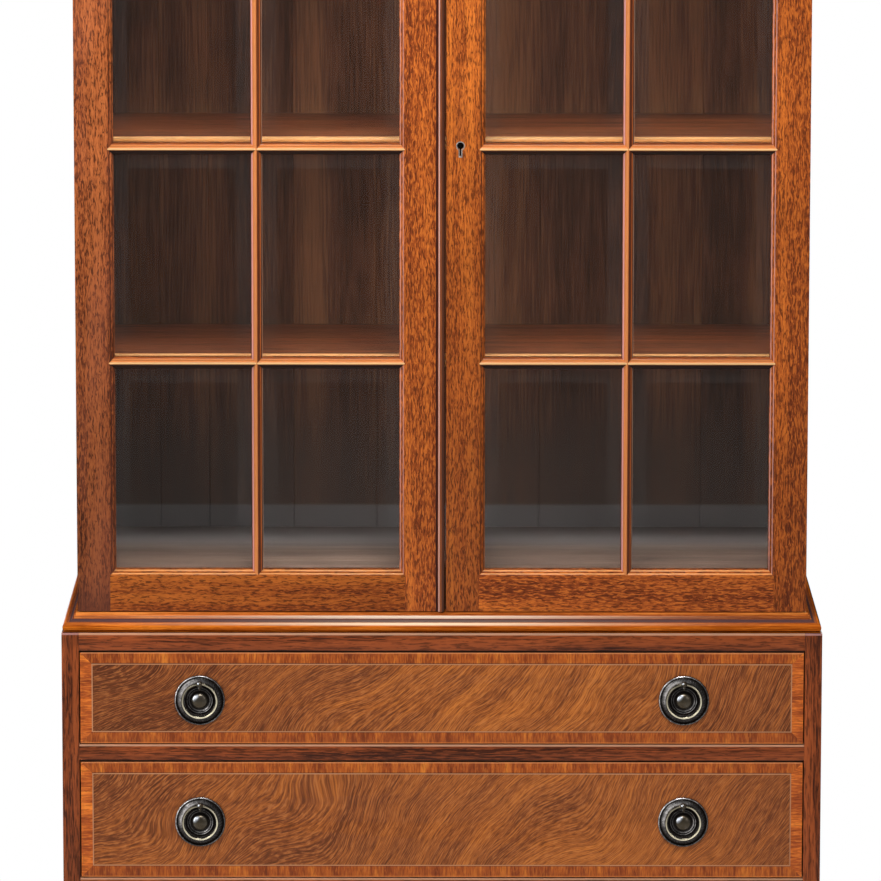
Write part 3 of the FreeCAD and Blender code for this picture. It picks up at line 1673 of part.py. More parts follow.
def pull_post(name, x_pull, z_pull):
    """The ball-headed post at the top of the plate, drilled across for the ring."""
    z_post = z_pull + s.ring_radius
    y_eye = y_lower_front - s.ring_stand
    post = rod(f"{name}_post_shank", "XZ", s.shank_radius, y_eye, s.ring_stand + s.post_depth, x_pull, z_post)
    ball = doc.addObject("Part::Sphere", f"{name}_post_ball")
    bind(ball, "Radius", s.eye_radius)
    move_to(ball, x_pull, y_eye, z_post)
    length = 2 * s.eye_radius
    hole = rod(f"{name}_post_eye", "YZ", s.eye_hole, x_pull - s.eye_radius, length, y_eye, z_post)
    return cut(f"{name}_post", fuse(f"{name}_post_whole", [post, ball]), [hole])


# Build, check and write

def build():
    lower_sides()
    lower_boards()
    drawer_rails()
    drawer_runners()
    shares = [number / LOWER_BACK_BOARDS for number in range(LOWER_BACK_BOARDS + 1)]
    back_boards("lower_back_boards", lower_inner + s.back_rebate, shares, s.foot_height, z_lower_top)
    bracket_feet()
    base_moulding()
    waist_moulding()
    frame_boards()
    upper_sides()
    upper_floor()
    back_boards("upper_back_boards", upper_inner + s.back_rebate, BACK_SEAM_SHARES, z_base_top, z_top_board)
    shelves()
    shelf_pegs()
    frieze()
    cornice()
    for name, x_door in DOORS:
        frame_stiles(name, x_door)
        frame_rails(name, x_door)
        glazing_bars(name, x_door)
        panes(name, x_door)
    meeting_bead()
    hinge_leaves()
    bolts()
    lock()
    for name, z_opening, _, z_low, z_high in DRAWERS:
        drawer(name, z_opening, z_low, z_high)
    doc.recompute()


def check():
    """Stop where an object has failed, a cut has missed, or a sub-part is not sound."""
    for item in doc.Objects:
        if "Invalid" in item.State or "Error" in item.State:
            raise RuntimeError(f"{item.Label} failed: {item.State}")
        if item.TypeId == "PartDesign::Pocket" and item.Shape.Volume >= item.BaseFeature.Shape.Volume:
            raise RuntimeError(f"{item.Label} cuts nothing")
    for name, item in NODES.items():
        if item.Shape.isNull() or not item.Shape.isValid() or not item.Shape.Solids:
            raise RuntimeError(f"{name} is not a sound solid")


def write():
    os.makedirs("parts", exist_ok=True)
    for name, item in NODES.items():
        item.Shape.exportStep(f"parts/{name}.step")


build()
check()
write()
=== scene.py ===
import math
import random

import bpy
import numpy as np
from mathutils import Euler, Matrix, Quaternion, Vector


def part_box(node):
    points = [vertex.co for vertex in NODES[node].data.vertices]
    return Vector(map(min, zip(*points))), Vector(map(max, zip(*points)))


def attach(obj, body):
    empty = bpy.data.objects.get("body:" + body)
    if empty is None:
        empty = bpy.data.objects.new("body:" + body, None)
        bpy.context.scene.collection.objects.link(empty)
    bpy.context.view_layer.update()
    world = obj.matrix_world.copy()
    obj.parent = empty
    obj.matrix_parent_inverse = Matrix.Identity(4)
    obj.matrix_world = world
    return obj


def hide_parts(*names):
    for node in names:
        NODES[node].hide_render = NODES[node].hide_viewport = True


# Looks of the glazed bookcase: polished mahogany with figured and crossbanded drawer
# fronts, bevelled panes and dark brass ring pulls. Lengths are in metres.

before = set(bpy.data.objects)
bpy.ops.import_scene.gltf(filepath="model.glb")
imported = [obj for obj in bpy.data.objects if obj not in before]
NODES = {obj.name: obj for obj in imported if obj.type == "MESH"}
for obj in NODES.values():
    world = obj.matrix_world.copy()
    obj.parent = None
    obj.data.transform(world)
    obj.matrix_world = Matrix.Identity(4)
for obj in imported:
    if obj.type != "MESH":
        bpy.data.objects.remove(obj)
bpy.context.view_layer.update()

DRAWERS = "top", "middle", "bottom"
SIDES = "left", "right"
AXES = "XYZ"
MM = 0.001
WHITE = (1, 1, 1, 1)


def new_object(name, data):
    """A new object of the scene."""
    item = bpy.data.objects.new(name, data)
    bpy.context.scene.collection.objects.link(item)
    return item


# Colours and node trees

def linear(*shades):
    """sRGB shades from 0 to 255 as a linear colour."""
    values = [shade / 255 for shade in shades]
    return [value / 12.92 if value <= 0.04045 else ((value + 0.055) / 1.055) ** 2.4
            for value in values] + [1]


def scaled(colour, share):
    return [channel * share for channel in colour[:3]] + [1]


class Graph:
    """The node tree of a material or world, built by short calls that return sockets."""

    # Sockets of a Mix node's colour kind
    MIX_SHARE, MIX_FIRST, MIX_SECOND, MIX_RESULT = 0, 6, 7, 2
    BUMP_STRENGTH = 0.6
    # The part's middle, and how far the light on it reaches to each side
    MIDDLE, MIDDLE_HALF = -0.03, 0.25

    def __init__(self, owner, output="ShaderNodeOutputMaterial"):
        owner.use_nodes = True
        self.owner = owner
        self.tree = owner.node_tree
        self.tree.nodes.clear()
        self.output = self.add(output)

    def add(self, kind, **settings):
        item = self.tree.nodes.new(kind)
        for key, value in settings.items():
            setattr(item, key, value)
        return item

    def feed(self, socket, value):
        """Link an output to the socket, or set its number, vector or colour."""
        if isinstance(value, bpy.types.NodeSocket):
            self.tree.links.new(value, socket)
        else:
            socket.default_value = value

    def join(self, item, *values):
        """Feed a node's first inputs in order, and return its first output."""
        for socket, value in zip(item.inputs, values):
            self.feed(socket, value)
        return item.outputs[0]

    def math(self, operation, first, second=0.0, clamp=False):
        item = self.add("ShaderNodeMath", operation=operation, use_clamp=clamp)
        return self.join(item, first, second)

    def vector(self, operation, *vectors, output="Vector"):
        item = self.add("ShaderNodeVectorMath", operation=operation)
        self.join(item, *vectors)
        return item.outputs[output]

    def total(self, *parts):
        """The sum of parts, each a number or socket, or (number or socket, its share)."""
        terms = [self.math("MULTIPLY", *part) if isinstance(part, tuple) else part
                 for part in parts]
        result = terms[0]
        for term in terms[1:]:
            result = self.math("ADD", result, term)
        return result

    def centred(self, value):
        return self.math("SUBTRACT", value, 0.5)

    def split(self, vector):
        item = self.add("ShaderNodeSeparateXYZ")
        self.feed(item.inputs[0], vector)
        return item.outputs

    def attribute(self, name, output):
        return self.add("ShaderNodeAttribute", attribute_name=name).outputs[output]

    def coordinate(self, kind):
        return self.add("ShaderNodeTexCoord").outputs[kind]

    def place(self):
        """Object coordinates, which are the frame's own, as three numbers."""
        return self.split(self.coordinate("Object"))

    def noise(self, vector, scales, detail=2.0, roughness=0.5, distortion=0.0, output="Fac"):
        item = self.add("ShaderNodeTexNoise")
        self.feed(item.inputs["Vector"], self.vector("MULTIPLY", vector, scales))
        item.inputs["Scale"].default_value = 1
        item.inputs["Detail"].default_value = detail
        item.inputs["Roughness"].default_value = roughness
        item.inputs["Distortion"].default_value = distortion
        return item.outputs[output]

    def swayed(self, bent, grain, scales, detail, width):
        """Lines of the grain, bent sideways by noise."""
        noise = self.noise(grain, scales, detail, output="Color")
        sway = self.vector("SUBTRACT", noise, (0.5, 0.5, 0.5))
        return self.vector("ADD", bent, self.vector("MULTIPLY", sway, (0, width, width)))

    def ramp(self, value, stops):
        item = self.add("ShaderNodeValToRGB")
        points = item.color_ramp.elements
        while len(points) < len(stops):
            points.new(0.5)
        for point, (place, colour) in zip(points, stops):
            point.position = place
            point.color = colour
        return self.join(item, value)

    def fade(self, value, low, high, start=0.0, kind="SMOOTHSTEP"):
        """Value mapped from low..high to start..1, and held there outside."""
        item = self.add("ShaderNodeMapRange", interpolation_type=kind)
        self.feed(item.inputs["Value"], value)
        item.inputs["From Min"].default_value = low
        item.inputs["From Max"].default_value = high
        item.inputs["To Min"].default_value = start
        return item.outputs["Result"]

    def off(self, value, centre, half):
        """How many half sizes a value lies from a centre."""
        return self.math("DIVIDE", self.math("SUBTRACT", value, centre), half)

    def bell(self, *offs):
        """1 at the centre, falling away to 0 around it."""
        squares = self.total(*[self.math("MULTIPLY", off, off) for off in offs])
        return self.math("EXPONENT", self.math("MULTIPLY", squares, -1.0))

    def middle(self):
        """1 at the part's middle, fading to 0 toward its ends."""
        return self.bell(self.off(self.place()[0], self.MIDDLE, self.MIDDLE_HALF))

    def front(self, low=0.3, high=0.7):
        """1 where a face looks to the front, fading to 0 as it turns away."""
        toward = self.math("MULTIPLY", self.split(self.coordinate("Normal"))[1], -1.0)
        return self.fade(toward, low, high)

    def mix(self, share, first, second, blend="MIX"):
        item = self.add("ShaderNodeMix", data_type="RGBA", blend_type=blend)
        self.feed(item.inputs[self.MIX_SHARE], share)
        self.feed(item.inputs[self.MIX_FIRST], first)
        self.feed(item.inputs[self.MIX_SECOND], second)
        return item.outputs[self.MIX_RESULT]

    def shaded(self, colour, shade):
        """Colour made darker or lighter by one number."""
        grey = self.join(self.add("ShaderNodeCombineColor"), shade, shade, shade)
        return self.mix(1.0, colour, grey, "MULTIPLY")

    def band(self, colour, value, low, high, tint, share, soft):
        """Colour with a soft-edged band of another where value is from low to high."""
        inside = self.math("SUBTRACT", self.fade(value, low - soft, low + soft),
                           self.fade(value, high - soft, high + soft))
        return self.mix(self.math("MULTIPLY", inside, share, clamp=True), colour, tint)

    def flecked(self, colour, flecks, dark, light):
        """Colour with dark pores where the flecks are low and light ones where they are
        high, and the pores' share. Dark and light are (from, to, share, tint)."""
        low, high, share, tint = dark
        pores = self.math("SUBTRACT", 1.0, self.fade(flecks, low, high))
        pores = self.math("MULTIPLY", pores, share)
        colour = self.mix(pores, colour, tint)
        low, high, share, tint = light
        gleam = self.math("MULTIPLY", self.fade(flecks, low, high), share)
        return self.mix(gleam, colour, tint), pores

    def surface(self, colour, roughness, height=None, depth=0.0, **sockets):
        """The output's shader, with a bump of that depth where there is a height."""
        shader = self.add("ShaderNodeBsdfPrincipled")
        self.feed(shader.inputs["Base Color"], colour)
        self.feed(shader.inputs["Roughness"], roughness)
        for name, value in sockets.items():
            self.feed(shader.inputs[name.replace("_", " ")], value)
        if height is not None:
            bump = self.add("ShaderNodeBump")
            bump.inputs["Strength"].default_value = self.BUMP_STRENGTH
            bump.inputs["Distance"].default_value = depth
            self.feed(bump.inputs["Height"], height)
            self.feed(shader.inputs["Normal"], bump.outputs[0])
        self.feed(self.output.inputs[0], shader.outputs[0])
        return shader

    def blended(self, share, first, second):
        """Two shaders mixed by a share, on the output."""
        both = self.join(self.add("ShaderNodeMixShader"), share, first, second)
        self.feed(self.output.inputs[0], both)


def new_graph(name):
    """The empty node tree of a new material."""
    return Graph(bpy.data.materials.new(name))


# Woods. The "grain" attribute holds (along, across, through) the grain, in metres, and
# noise scales are in that order, per metre. "Tone" is a solid's own shade, from -1 to 1.

SWAY_SCALES, SWAY = (1.7, 5, 5), 0.020
RIPPLE_SCALES = (48, 90, 90)
FIBRE_SCALES = (11, 480, 480)
MOTTLE_SCALES, MOTTLE_LOW, MOTTLE = (9, 7, 7), 0.72, 0.56
# Pink patches on the red stile, a painted reflection
PINK_REFLECTION_SCALES, PINK_REFLECTION_RANGE = (3, 16, 16), (0.42, 0.62)
PINK_REFLECTION_TINT = scaled(linear(160, 92, 72), 0.95)
# Shares of the streaks, the fibres and the solid's own tone in the wood's shade
STREAKS, FIBRES, TONE = 0.62, 0.38, 0.05
# The noise that is a dark pore or a light gleam, the gleams' share of the flecks'
# strength, and how dark and light both are
PORES, PORE_SHADE = (0.39, 0.48), 0.36
GLEAMS, GLEAM, GLEAM_SHADE = (0.51, 0.61), 0.8, 1.2
FIBRE_HEIGHT, PORE_ROUGHNESS, WOOD_RELIEF = 0.4, 0.18, 0.00012
# Heights between which the painted shade at the doors' foot fades away
FOOT_LOW, FOOT_HIGH = 0.70, 1.55
# How far aslant a moulding gets painted shade and painted highlights, and how much
PAINTED_SIDE_RANGE, PAINTED_SHADE_SHARE, PAINTED_SHADE_DARKNESS = (0.5, 0.85), 0.88, 0.16
PAINTED_TOP_RANGE, PAINTED_HIGHLIGHT_SHARE = (0.3, 0.75), 0.62
WINDOW_HIGHLIGHT_TINT, TOP_HIGHLIGHT_TINT, MIDDLE_HIGHLIGHT_TINT = (
    linear(226, 180, 172), linear(248, 176, 110), linear(255, 226, 190))


def painted_light_and_shade(g, colour, dark, painted_light, shade_slope, highlight_in_middle):
    """Painted light and shade on mouldings by their slant: painted highlights above and toward
    the window, and painted shade on the other side and where they slope down.
    """
    across, _, up = g.split(g.attribute("facing", "Vector"))
    down = g.math("MULTIPLY", up, -1.0)
    painted_shade = g.math("MAXIMUM", g.fade(across, *PAINTED_SIDE_RANGE), g.fade(down, *shade_slope))
    colour = g.mix(g.math("MULTIPLY", painted_shade, PAINTED_SHADE_SHARE * painted_light), colour,
                   scaled(dark, PAINTED_SHADE_DARKNESS))
    window = g.fade(g.math("MULTIPLY", across, -1.0), *PAINTED_SIDE_RANGE)
    colour = g.mix(g.math("MULTIPLY", window, PAINTED_HIGHLIGHT_SHARE * painted_light), colour, WINDOW_HIGHLIGHT_TINT)
    top_highlight = g.math("MULTIPLY", g.fade(up, *PAINTED_TOP_RANGE), PAINTED_HIGHLIGHT_SHARE * painted_light)
    if highlight_in_middle:
        top_highlight = g.math("MULTIPLY", top_highlight, g.middle())
    return g.mix(top_highlight, colour, MIDDLE_HIGHLIGHT_TINT if highlight_in_middle else TOP_HIGHLIGHT_TINT)


def wood(name, colours, fleck, size, streak=(1.3, 55.0), sheen=0.1, rough=0.38, coat=0.12,
         pink=0.0, spread=0.12, wave=0.0, painted_light=0.0, shade_slope=(0.15, 0.55), highlight_in_middle=False, foot=1.0,
         bands=(), bands_on=None):
    """Straight-grained polished wood: soft streaks, dark and light flecks and slow mottle.
    Colours are its dark, middle and light shades. Fleck is the flecks' strength, size their
    length and width, and streak the streaks' scales. Mouldings can get painted light by their
    slant: painted highlights above and toward the window, and painted shade on the other side
    and where they slope down by a given range, with the top highlight near the part's middle
    alone if asked. Foot is a painted shade, darker toward the bottom of the doors. Bands are
    (axis, low, high, tint, share, softness): painted light, shade and reflections, by the
    part's own measures or across a solid's "profile". They may lie on the part's "middle" or
    "front" alone."""
    g = new_graph(name)
    dark, mid, light = [linear(*shades) for shades in colours]
    grain = g.attribute("grain", "Vector")
    bent = g.swayed(grain, grain, SWAY_SCALES, 2, SWAY)
    if wave:
        bent = g.swayed(bent, grain, RIPPLE_SCALES, 1, wave)
    along, across = streak
    long, wide = size
    broad = g.noise(bent, (along, across, across), 3, 0.6)
    fibre = g.noise(bent, FIBRE_SCALES, 2, 0.6)
    flecks = g.noise(bent, (1 / long, 1 / wide, 1 / wide), 2, 0.6, 0.6)
    level = g.total((broad, STREAKS), (fibre, FIBRES), (g.attribute("tone", "Fac"), TONE))
    colour = g.ramp(level, [(0.5 - spread, dark), (0.5, mid), (0.5 + spread, light)])
    colour, pores = g.flecked(colour, flecks, (*PORES, fleck, scaled(dark, PORE_SHADE)),
                              (*GLEAMS, fleck * GLEAM, scaled(light, GLEAM_SHADE)))
    mottle = g.noise(grain, MOTTLE_SCALES, 2, 0.5)
    colour = g.shaded(colour, g.total(MOTTLE_LOW, (mottle, MOTTLE)))
    # Painted shade: darker toward the foot of the doors
    if foot < 1:
        height = g.fade(g.place()[2], FOOT_LOW, FOOT_HIGH)
        colour = g.shaded(colour, g.total(foot, (height, 1 - foot)))
    # Painted light and shade on the mouldings' slanted faces
    if painted_light:
        colour = painted_light_and_shade(g, colour, dark, painted_light, shade_slope, highlight_in_middle)
    for axis, low, high, tint, share, soft in bands:
        if bands_on:
            share = g.math("MULTIPLY", g.front() if bands_on == "front" else g.middle(), share)
        value = g.place()[AXES.index(axis)] if axis in AXES else g.attribute(axis, "Fac")
        colour = g.band(colour, value, low, high, linear(*tint), share, soft)
    # Painted reflection in pink patches
    if pink:
        pink_reflection = g.fade(g.noise(grain, PINK_REFLECTION_SCALES, 2), *PINK_REFLECTION_RANGE)
        colour = g.mix(g.math("MULTIPLY", pink_reflection, pink), colour, PINK_REFLECTION_TINT)
    height = g.math("SUBTRACT", g.math("MULTIPLY", fibre, FIBRE_HEIGHT), pores)
    g.surface(colour, g.total(rough, (pores, PORE_ROUGHNESS)), height, WOOD_RELIEF,
              Specular_IOR_Level=sheen, Coat_Weight=coat, Coat_Roughness=0.13, Coat_IOR=1.5)
    return g.owner


# Veneers. Their pores and gleams are (from, to, share, tint)

VENEER_ROUGHNESS, VENEER_RELIEF = 0.36, 0.00008


def veneer(g, colour, fine, pores):
    """The polished surface that both veneers have."""
    g.surface(colour, VENEER_ROUGHNESS, g.math("SUBTRACT", fine, pores), VENEER_RELIEF,
              Specular_IOR_Level=0.1, Coat_Weight=0.15, Coat_Roughness=0.12, Coat_IOR=1.45)
    return g.owner


# Lengths of banding in a metre, and how much their tones differ
LENGTHS, LENGTH_TONE = 14.0, 0.12
BANDING = [(0.27, (114, 49, 20)), (0.45, (150, 70, 27)), (0.59, (178, 90, 32)),
           (0.77, (220, 132, 48))]
BANDING_PORES = (0.38, 0.50, 0.4, linear(82, 34, 16))
BANDING_GLEAMS, BANDING_GLEAM_TINT = (0.52, 0.64, 0.28), linear(222, 132, 52)
BANDING_SOFTNESS = 0.05


def crossband(name, lift=1.0, bands=()):
    """Short-grained banding laid in lengths, each of its own tone. Lift makes it lighter.
    Bands are (low, high, tint, share) across the strip's "profile"."""
    g = new_graph(name)
    grain = g.attribute("grain", "Vector")
    lengths = g.add("ShaderNodeTexVoronoi", voronoi_dimensions="1D")
    g.feed(lengths.inputs["W"], g.math("MULTIPLY", g.split(grain)[1], LENGTHS))
    own = g.join(g.add("ShaderNodeSeparateColor"), lengths.outputs["Color"])
    broad = g.noise(grain, (14, 62, 62), 3, 0.55, 0.3)
    fine = g.noise(grain, (40, 330, 330), 2, 0.6)
    flecks = g.noise(grain, (70, 420, 420), 2, 0.6, 0.4)
    level = g.total((broad, 0.72), (fine, 0.28), (g.centred(own), LENGTH_TONE))
    colour = g.ramp(level, [(at, scaled(linear(*shades), lift)) for at, shades in BANDING])
    colour, pores = g.flecked(colour, flecks, BANDING_PORES,
                              (*BANDING_GLEAMS, scaled(BANDING_GLEAM_TINT, lift)))
    for low, high, tint, share in bands:
        colour = g.band(colour, g.attribute("profile", "Fac"), low, high, linear(*tint), share,
                        BANDING_SOFTNESS)
    return veneer(g, colour, fine, pores)


# The figured veneer's grain runs up to the right, and steeper there
RISE, SLOPE, STEEPER, LEAN = 0.64, 0.66, 0.22, 0.4
WARP_SCALES, WARP = (3.1, 1, 4.6), 0.10
CURL_SCALES, CURL = (9, 1, 13), 0.016
# Eyes that it turns round: x, z, half width, half height and rise
EYES = [
    (-0.390, 0.400, 0.080, 0.075, 0.046), (-0.140, 0.385, 0.090, 0.100, 0.058),
    (0.245, 0.425, 0.085, 0.085, 0.056), (0.39, 0.44, 0.05, 0.09, 0.022),
    (-0.19, 0.625, 0.070, 0.060, -0.032), (-0.40, 0.66, 0.10, 0.06, 0.040),
    (0.34, 0.61, 0.10, 0.07, 0.030), (0.02, 0.24, 0.16, 0.10, 0.085),
]
# Its painted pool of light in the middle, and the heights from which the top drawer is a
# little darker
FIELD_MIDDLE, FIELD_HALF, FIELD_LIGHT_POOL = 0.12, 1 / 3, 0.13
TOP_DRAWER, TOP_DARKER = (0.50, 0.58), 0.026
FIELD_COLOURS = [(0.33, linear(88, 44, 23)), (0.45, linear(126, 68, 34)),
                 (0.55, linear(158, 88, 39)), (0.68, linear(198, 116, 50))]
FIELD_PORES = (0.38, 0.48, 0.45, linear(80, 41, 20))
FIELD_GLEAMS = (0.52, 0.63, 0.5, linear(188, 116, 62))


def figured(name):
    """Curl-figured veneer: fine grain that rises to the right and turns round its eyes."""
    g = new_graph(name)
    place = g.coordinate("Object")
    x, _, z = g.split(place)
    warp = g.noise(place, WARP_SCALES, 2, 0.45)
    curl = g.noise(place, CURL_SCALES, 2, 0.5)
    slope = g.math("MULTIPLY", x, g.total(SLOPE, (x, STEEPER)))
    line = g.math("SUBTRACT", g.math("MULTIPLY", z, RISE), slope)
    line = g.total(line, (g.centred(warp), WARP), (g.centred(curl), CURL))
    for eye_x, eye_z, wide, tall, rise in EYES:
        hill = g.bell(g.off(x, eye_x, wide), g.off(z, eye_z, tall))
        line = g.total(line, (hill, rise))
    bent = g.join(g.add("ShaderNodeCombineXYZ"), g.total(x, (z, LEAN)), line,
                  g.attribute("tone", "Fac"))
    broad = g.noise(bent, (2.2, 46, 3), 2, 0.55)
    lines = g.noise(bent, (9, 570, 3), 2, 0.55)
    flecks = g.noise(bent, (66, 720, 3), 2, 0.6, 0.2)
    light = g.noise(place, (2.4, 1, 3.2), 1, 0.5)
    # A painted pool of light across the middle of the fronts
    middle = g.bell(g.off(x, FIELD_MIDDLE, FIELD_HALF))
    level = g.total((broad, 0.34), (lines, 0.50), (flecks, 0.16), (g.centred(light), 0.20),
                    (g.centred(middle), FIELD_LIGHT_POOL), (g.fade(z, *TOP_DRAWER), -TOP_DARKER))
    colour, pores = g.flecked(g.ramp(level, FIELD_COLOURS), flecks, FIELD_PORES, FIELD_GLEAMS)
    return veneer(g, colour, lines, pores)


# How much larger plain wood's broad grain is than its fibre, along and across
BROADER_ALONG, BROADER_ACROSS = 8, 9
PLAIN_RELIEF = 0.0001


def plain(name, shades, rough, fibre_scales, contrast):
    """Unpolished or thinly polished plain wood."""
    g = new_graph(name)
    colour = linear(*shades)
    grain = g.attribute("grain", "Vector")
    along, across, through = fibre_scales
    broad_scales = (along / BROADER_ALONG, across / BROADER_ACROSS, through / BROADER_ACROSS)
    broad = g.noise(grain, broad_scales, 3, 0.6)
    fibre = g.noise(grain, fibre_scales, 2, 0.6)
    level = g.total((broad, 0.6), (fibre, 0.4), (g.attribute("tone", "Fac"), TONE))
    shade = g.ramp(level, [(0.34, scaled(colour, 1 - contrast)), (0.5, colour),
                           (0.66, scaled(colour, 1 + contrast))])
    g.surface(shade, rough, fibre, PLAIN_RELIEF, Specular_IOR_Level=0.3)
    return g.owner


# Glass and metals

GLASS_TINT, GLASS_IOR = linear(236, 241, 238), 1.18
GLASS_HAZE, BEVEL_HAZE = 0.0005, 0.008


def glass(name):
    """Clear plate glass that lets the lamps through."""
    g = new_graph(name)
    aslant = g.vector("LENGTH", g.attribute("facing", "Vector"), output="Value")
    haze = g.total(GLASS_HAZE, (aslant, BEVEL_HAZE))
    shader = g.surface(GLASS_TINT, 0.0, Transmission_Weight=g.math("SUBTRACT", 1.0, haze),
                       IOR=GLASS_IOR)
    clear = g.join(g.add("ShaderNodeBsdfTransparent"), GLASS_TINT)
    shadow = g.add("ShaderNodeLightPath").outputs["Is Shadow Ray"]
    g.blended(shadow, shader.outputs[0], clear)
    return g.owner


CLOUD_RANGE, WEAR_LIFT, HIGHLIGHT_CLOUD_SHARE = (0.35, 0.7), 0.55, 0.2
# How squarely a face must look the knop's way, and the ring's to the front, to get a
# painted highlight
KNOP_HIGHLIGHT_RANGE, RING_SHINE_RANGE = (0.90, 1.0), (0.74, 0.97)
SKIN_ROUGHNESS, SKIN_RELIEF = 0.25, 0.00005


def metal(name, dark, bright, rough, worn=None, cloud_scale=160, skin_scale=900, ring_shine=False,
          polished=None):
    """Aged brass: dark skin, brighter in clouds by the share that is worn, or else by an
    attribute of worn places and painted highlights. Ring metal has a painted highlight where
    it faces the front, by its own attribute, and polished metal a painted highlight where it
    faces that way."""
    g = new_graph(name)
    place = g.coordinate("Object")
    skin = g.noise(place, (skin_scale,) * 3, 2, 0.5)
    # The ring's painted highlight shows on its faces that look to the front
    if ring_shine:
        share = g.math("MULTIPLY", g.attribute("ring_shine", "Fac"), g.front(*RING_SHINE_RANGE))
    else:
        cloud = g.fade(g.noise(place, (cloud_scale,) * 3, 3, 0.6), *CLOUD_RANGE)
        if worn is None:
            lifted = g.total(cloud, WEAR_LIFT)
            share = g.math("MULTIPLY", lifted, g.attribute("wear_and_highlights", "Fac"), clamp=True)
        else:
            share = g.math("MULTIPLY", cloud, worn)
    # A painted highlight where the face looks the given way
    if polished:
        facing = g.vector("DOT_PRODUCT", g.coordinate("Normal"), polished, output="Value")
        share = g.total((share, HIGHLIGHT_CLOUD_SHARE), g.fade(facing, *KNOP_HIGHLIGHT_RANGE))
    colour = g.mix(share, linear(*dark), linear(*bright))
    roughness = g.total(rough, (g.centred(skin), SKIN_ROUGHNESS))
    g.surface(colour, roughness, skin, SKIN_RELIEF, Metallic=1.0)
    return g.owner


# Heights of painted light at the waist: a highlight on the base board's lower step, shade
# in the moulding's hollow, a shadow along its lip and a highlight on the case's top edge
BOARD = (0.7375, 0.7415)
HOLLOW = (0.7338, 0.7375)
LIP = (0.7185, 0.7213)
CASE_EDGE_HIGHLIGHT = (0.7172, 0.7200)
# The quirk beside the meeting bead, by X, where a painted shadow lies
QUIRK = (-0.0088, -0.0058)
# Heights of the painted shade at the doors' foot, and from which the case's painted shade
# below the waist and the back boards' painted reflection begin
DOOR_FOOT, CASE_SHOULDER, BACK_FOOT = (0.60, 0.775), 0.700, 0.60
SHELF_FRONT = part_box("low_shelf")[0].y
FLOOR_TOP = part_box("upper_floor")[1].z
FLOOR_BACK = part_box("upper_floor")[1].y

# Colours are dark, middle and light, as sRGB shades
CASE_COLOURS = (66, 30, 16), (108, 51, 25), (154, 78, 38)
CASE_DARK = (58, 26, 14), (98, 46, 22), (144, 71, 34)
BAR_COLOURS = (112, 52, 22), (150, 76, 32), (182, 100, 46)
# The doors' mouldings get painted light and shade by their slant
DOOR_GRAIN = {"size": (0.011, 0.0021), "wave": 0.004, "painted_light": 0.8}
CASE_GRAIN = {"size": (0.024, 0.0021), "streak": (1.6, 60.0), "spread": 0.10}
MOULD_GRAIN = {"fleck": 0.2, "size": (0.020, 0.0018), "streak": (2.0, 110.0)}
# The bars get a little of the painted shade at the doors' foot
BAR_GRAIN = {**MOULD_GRAIN, "rough": 0.3, "foot": 0.84}
# The case and posts get painted shade below the waist moulding and a painted highlight along
# their top edge
CASE_BANDS = [("Z", CASE_SHOULDER, CASE_EDGE_HIGHLIGHT[0], (46, 20, 12), 0.3, 0.006),
              ("Z", *CASE_EDGE_HIGHLIGHT, (176, 128, 122), 0.75, 0.0004)]

DOOR = wood("door_mahogany", ((118, 52, 21), (156, 76, 28), (196, 106, 39)), fleck=0.7,
            foot=0.72, **DOOR_GRAIN)
DOOR_GOLD = wood("door_mahogany_gold", ((124, 55, 22), (164, 80, 30), (204, 112, 42)),
                 fleck=0.7, foot=0.92, bands=[("X", *QUIRK, (40, 15, 14), 0.95, 0.0003)],
                 **DOOR_GRAIN)
DOOR_RED = wood("door_mahogany_red", ((100, 45, 23), (138, 69, 33), (176, 97, 50)), fleck=0.8,
                foot=0.54, pink=0.2, bands=[("Z", *DOOR_FOOT, (44, 20, 14), 0.6, 0.03)],
                **DOOR_GRAIN)
CASE = wood("case_mahogany", CASE_COLOURS, fleck=0.55, bands=CASE_BANDS, **CASE_GRAIN)
POST = wood("post_mahogany", CASE_DARK, fleck=0.6, bands=CASE_BANDS, **CASE_GRAIN)
# Rails get a painted shadow along their lower edge and a painted highlight on their top arris
RAIL = wood("rail_mahogany", CASE_DARK, fleck=0.55, **CASE_GRAIN, bands=[
    ("profile", -1.1, -0.90, (20, 8, 6), 0.9, 0.04),
    ("profile", 0.78, 1.1, (228, 176, 142), 0.5, 0.06),
])
# The waist moulding gets painted light by its slant, with the top highlight near the middle,
# painted shade in its hollow and a painted shadow along its lip
MOULD = wood("moulding_mahogany", ((140, 62, 14), (182, 90, 22), (218, 124, 38)), sheen=0.0,
             coat=0.0, rough=0.5, painted_light=1.3, shade_slope=(0.6, 0.95), highlight_in_middle=True, **MOULD_GRAIN, bands=[
                 ("Z", *HOLLOW, (66, 54, 60), 0.9, 0.0003),
                 ("Z", *LIP, (22, 9, 7), 0.95, 0.0003),
             ])
# The base board's lower step gets a painted highlight near the middle
STEP = wood("step_mahogany", ((150, 74, 28), (192, 104, 42), (226, 140, 66)), sheen=0.0,
            coat=0.0, rough=0.6, **MOULD_GRAIN,
            bands=[("Z", *BOARD, (255, 236, 214), 0.95, 0.0003)], bands_on="middle")
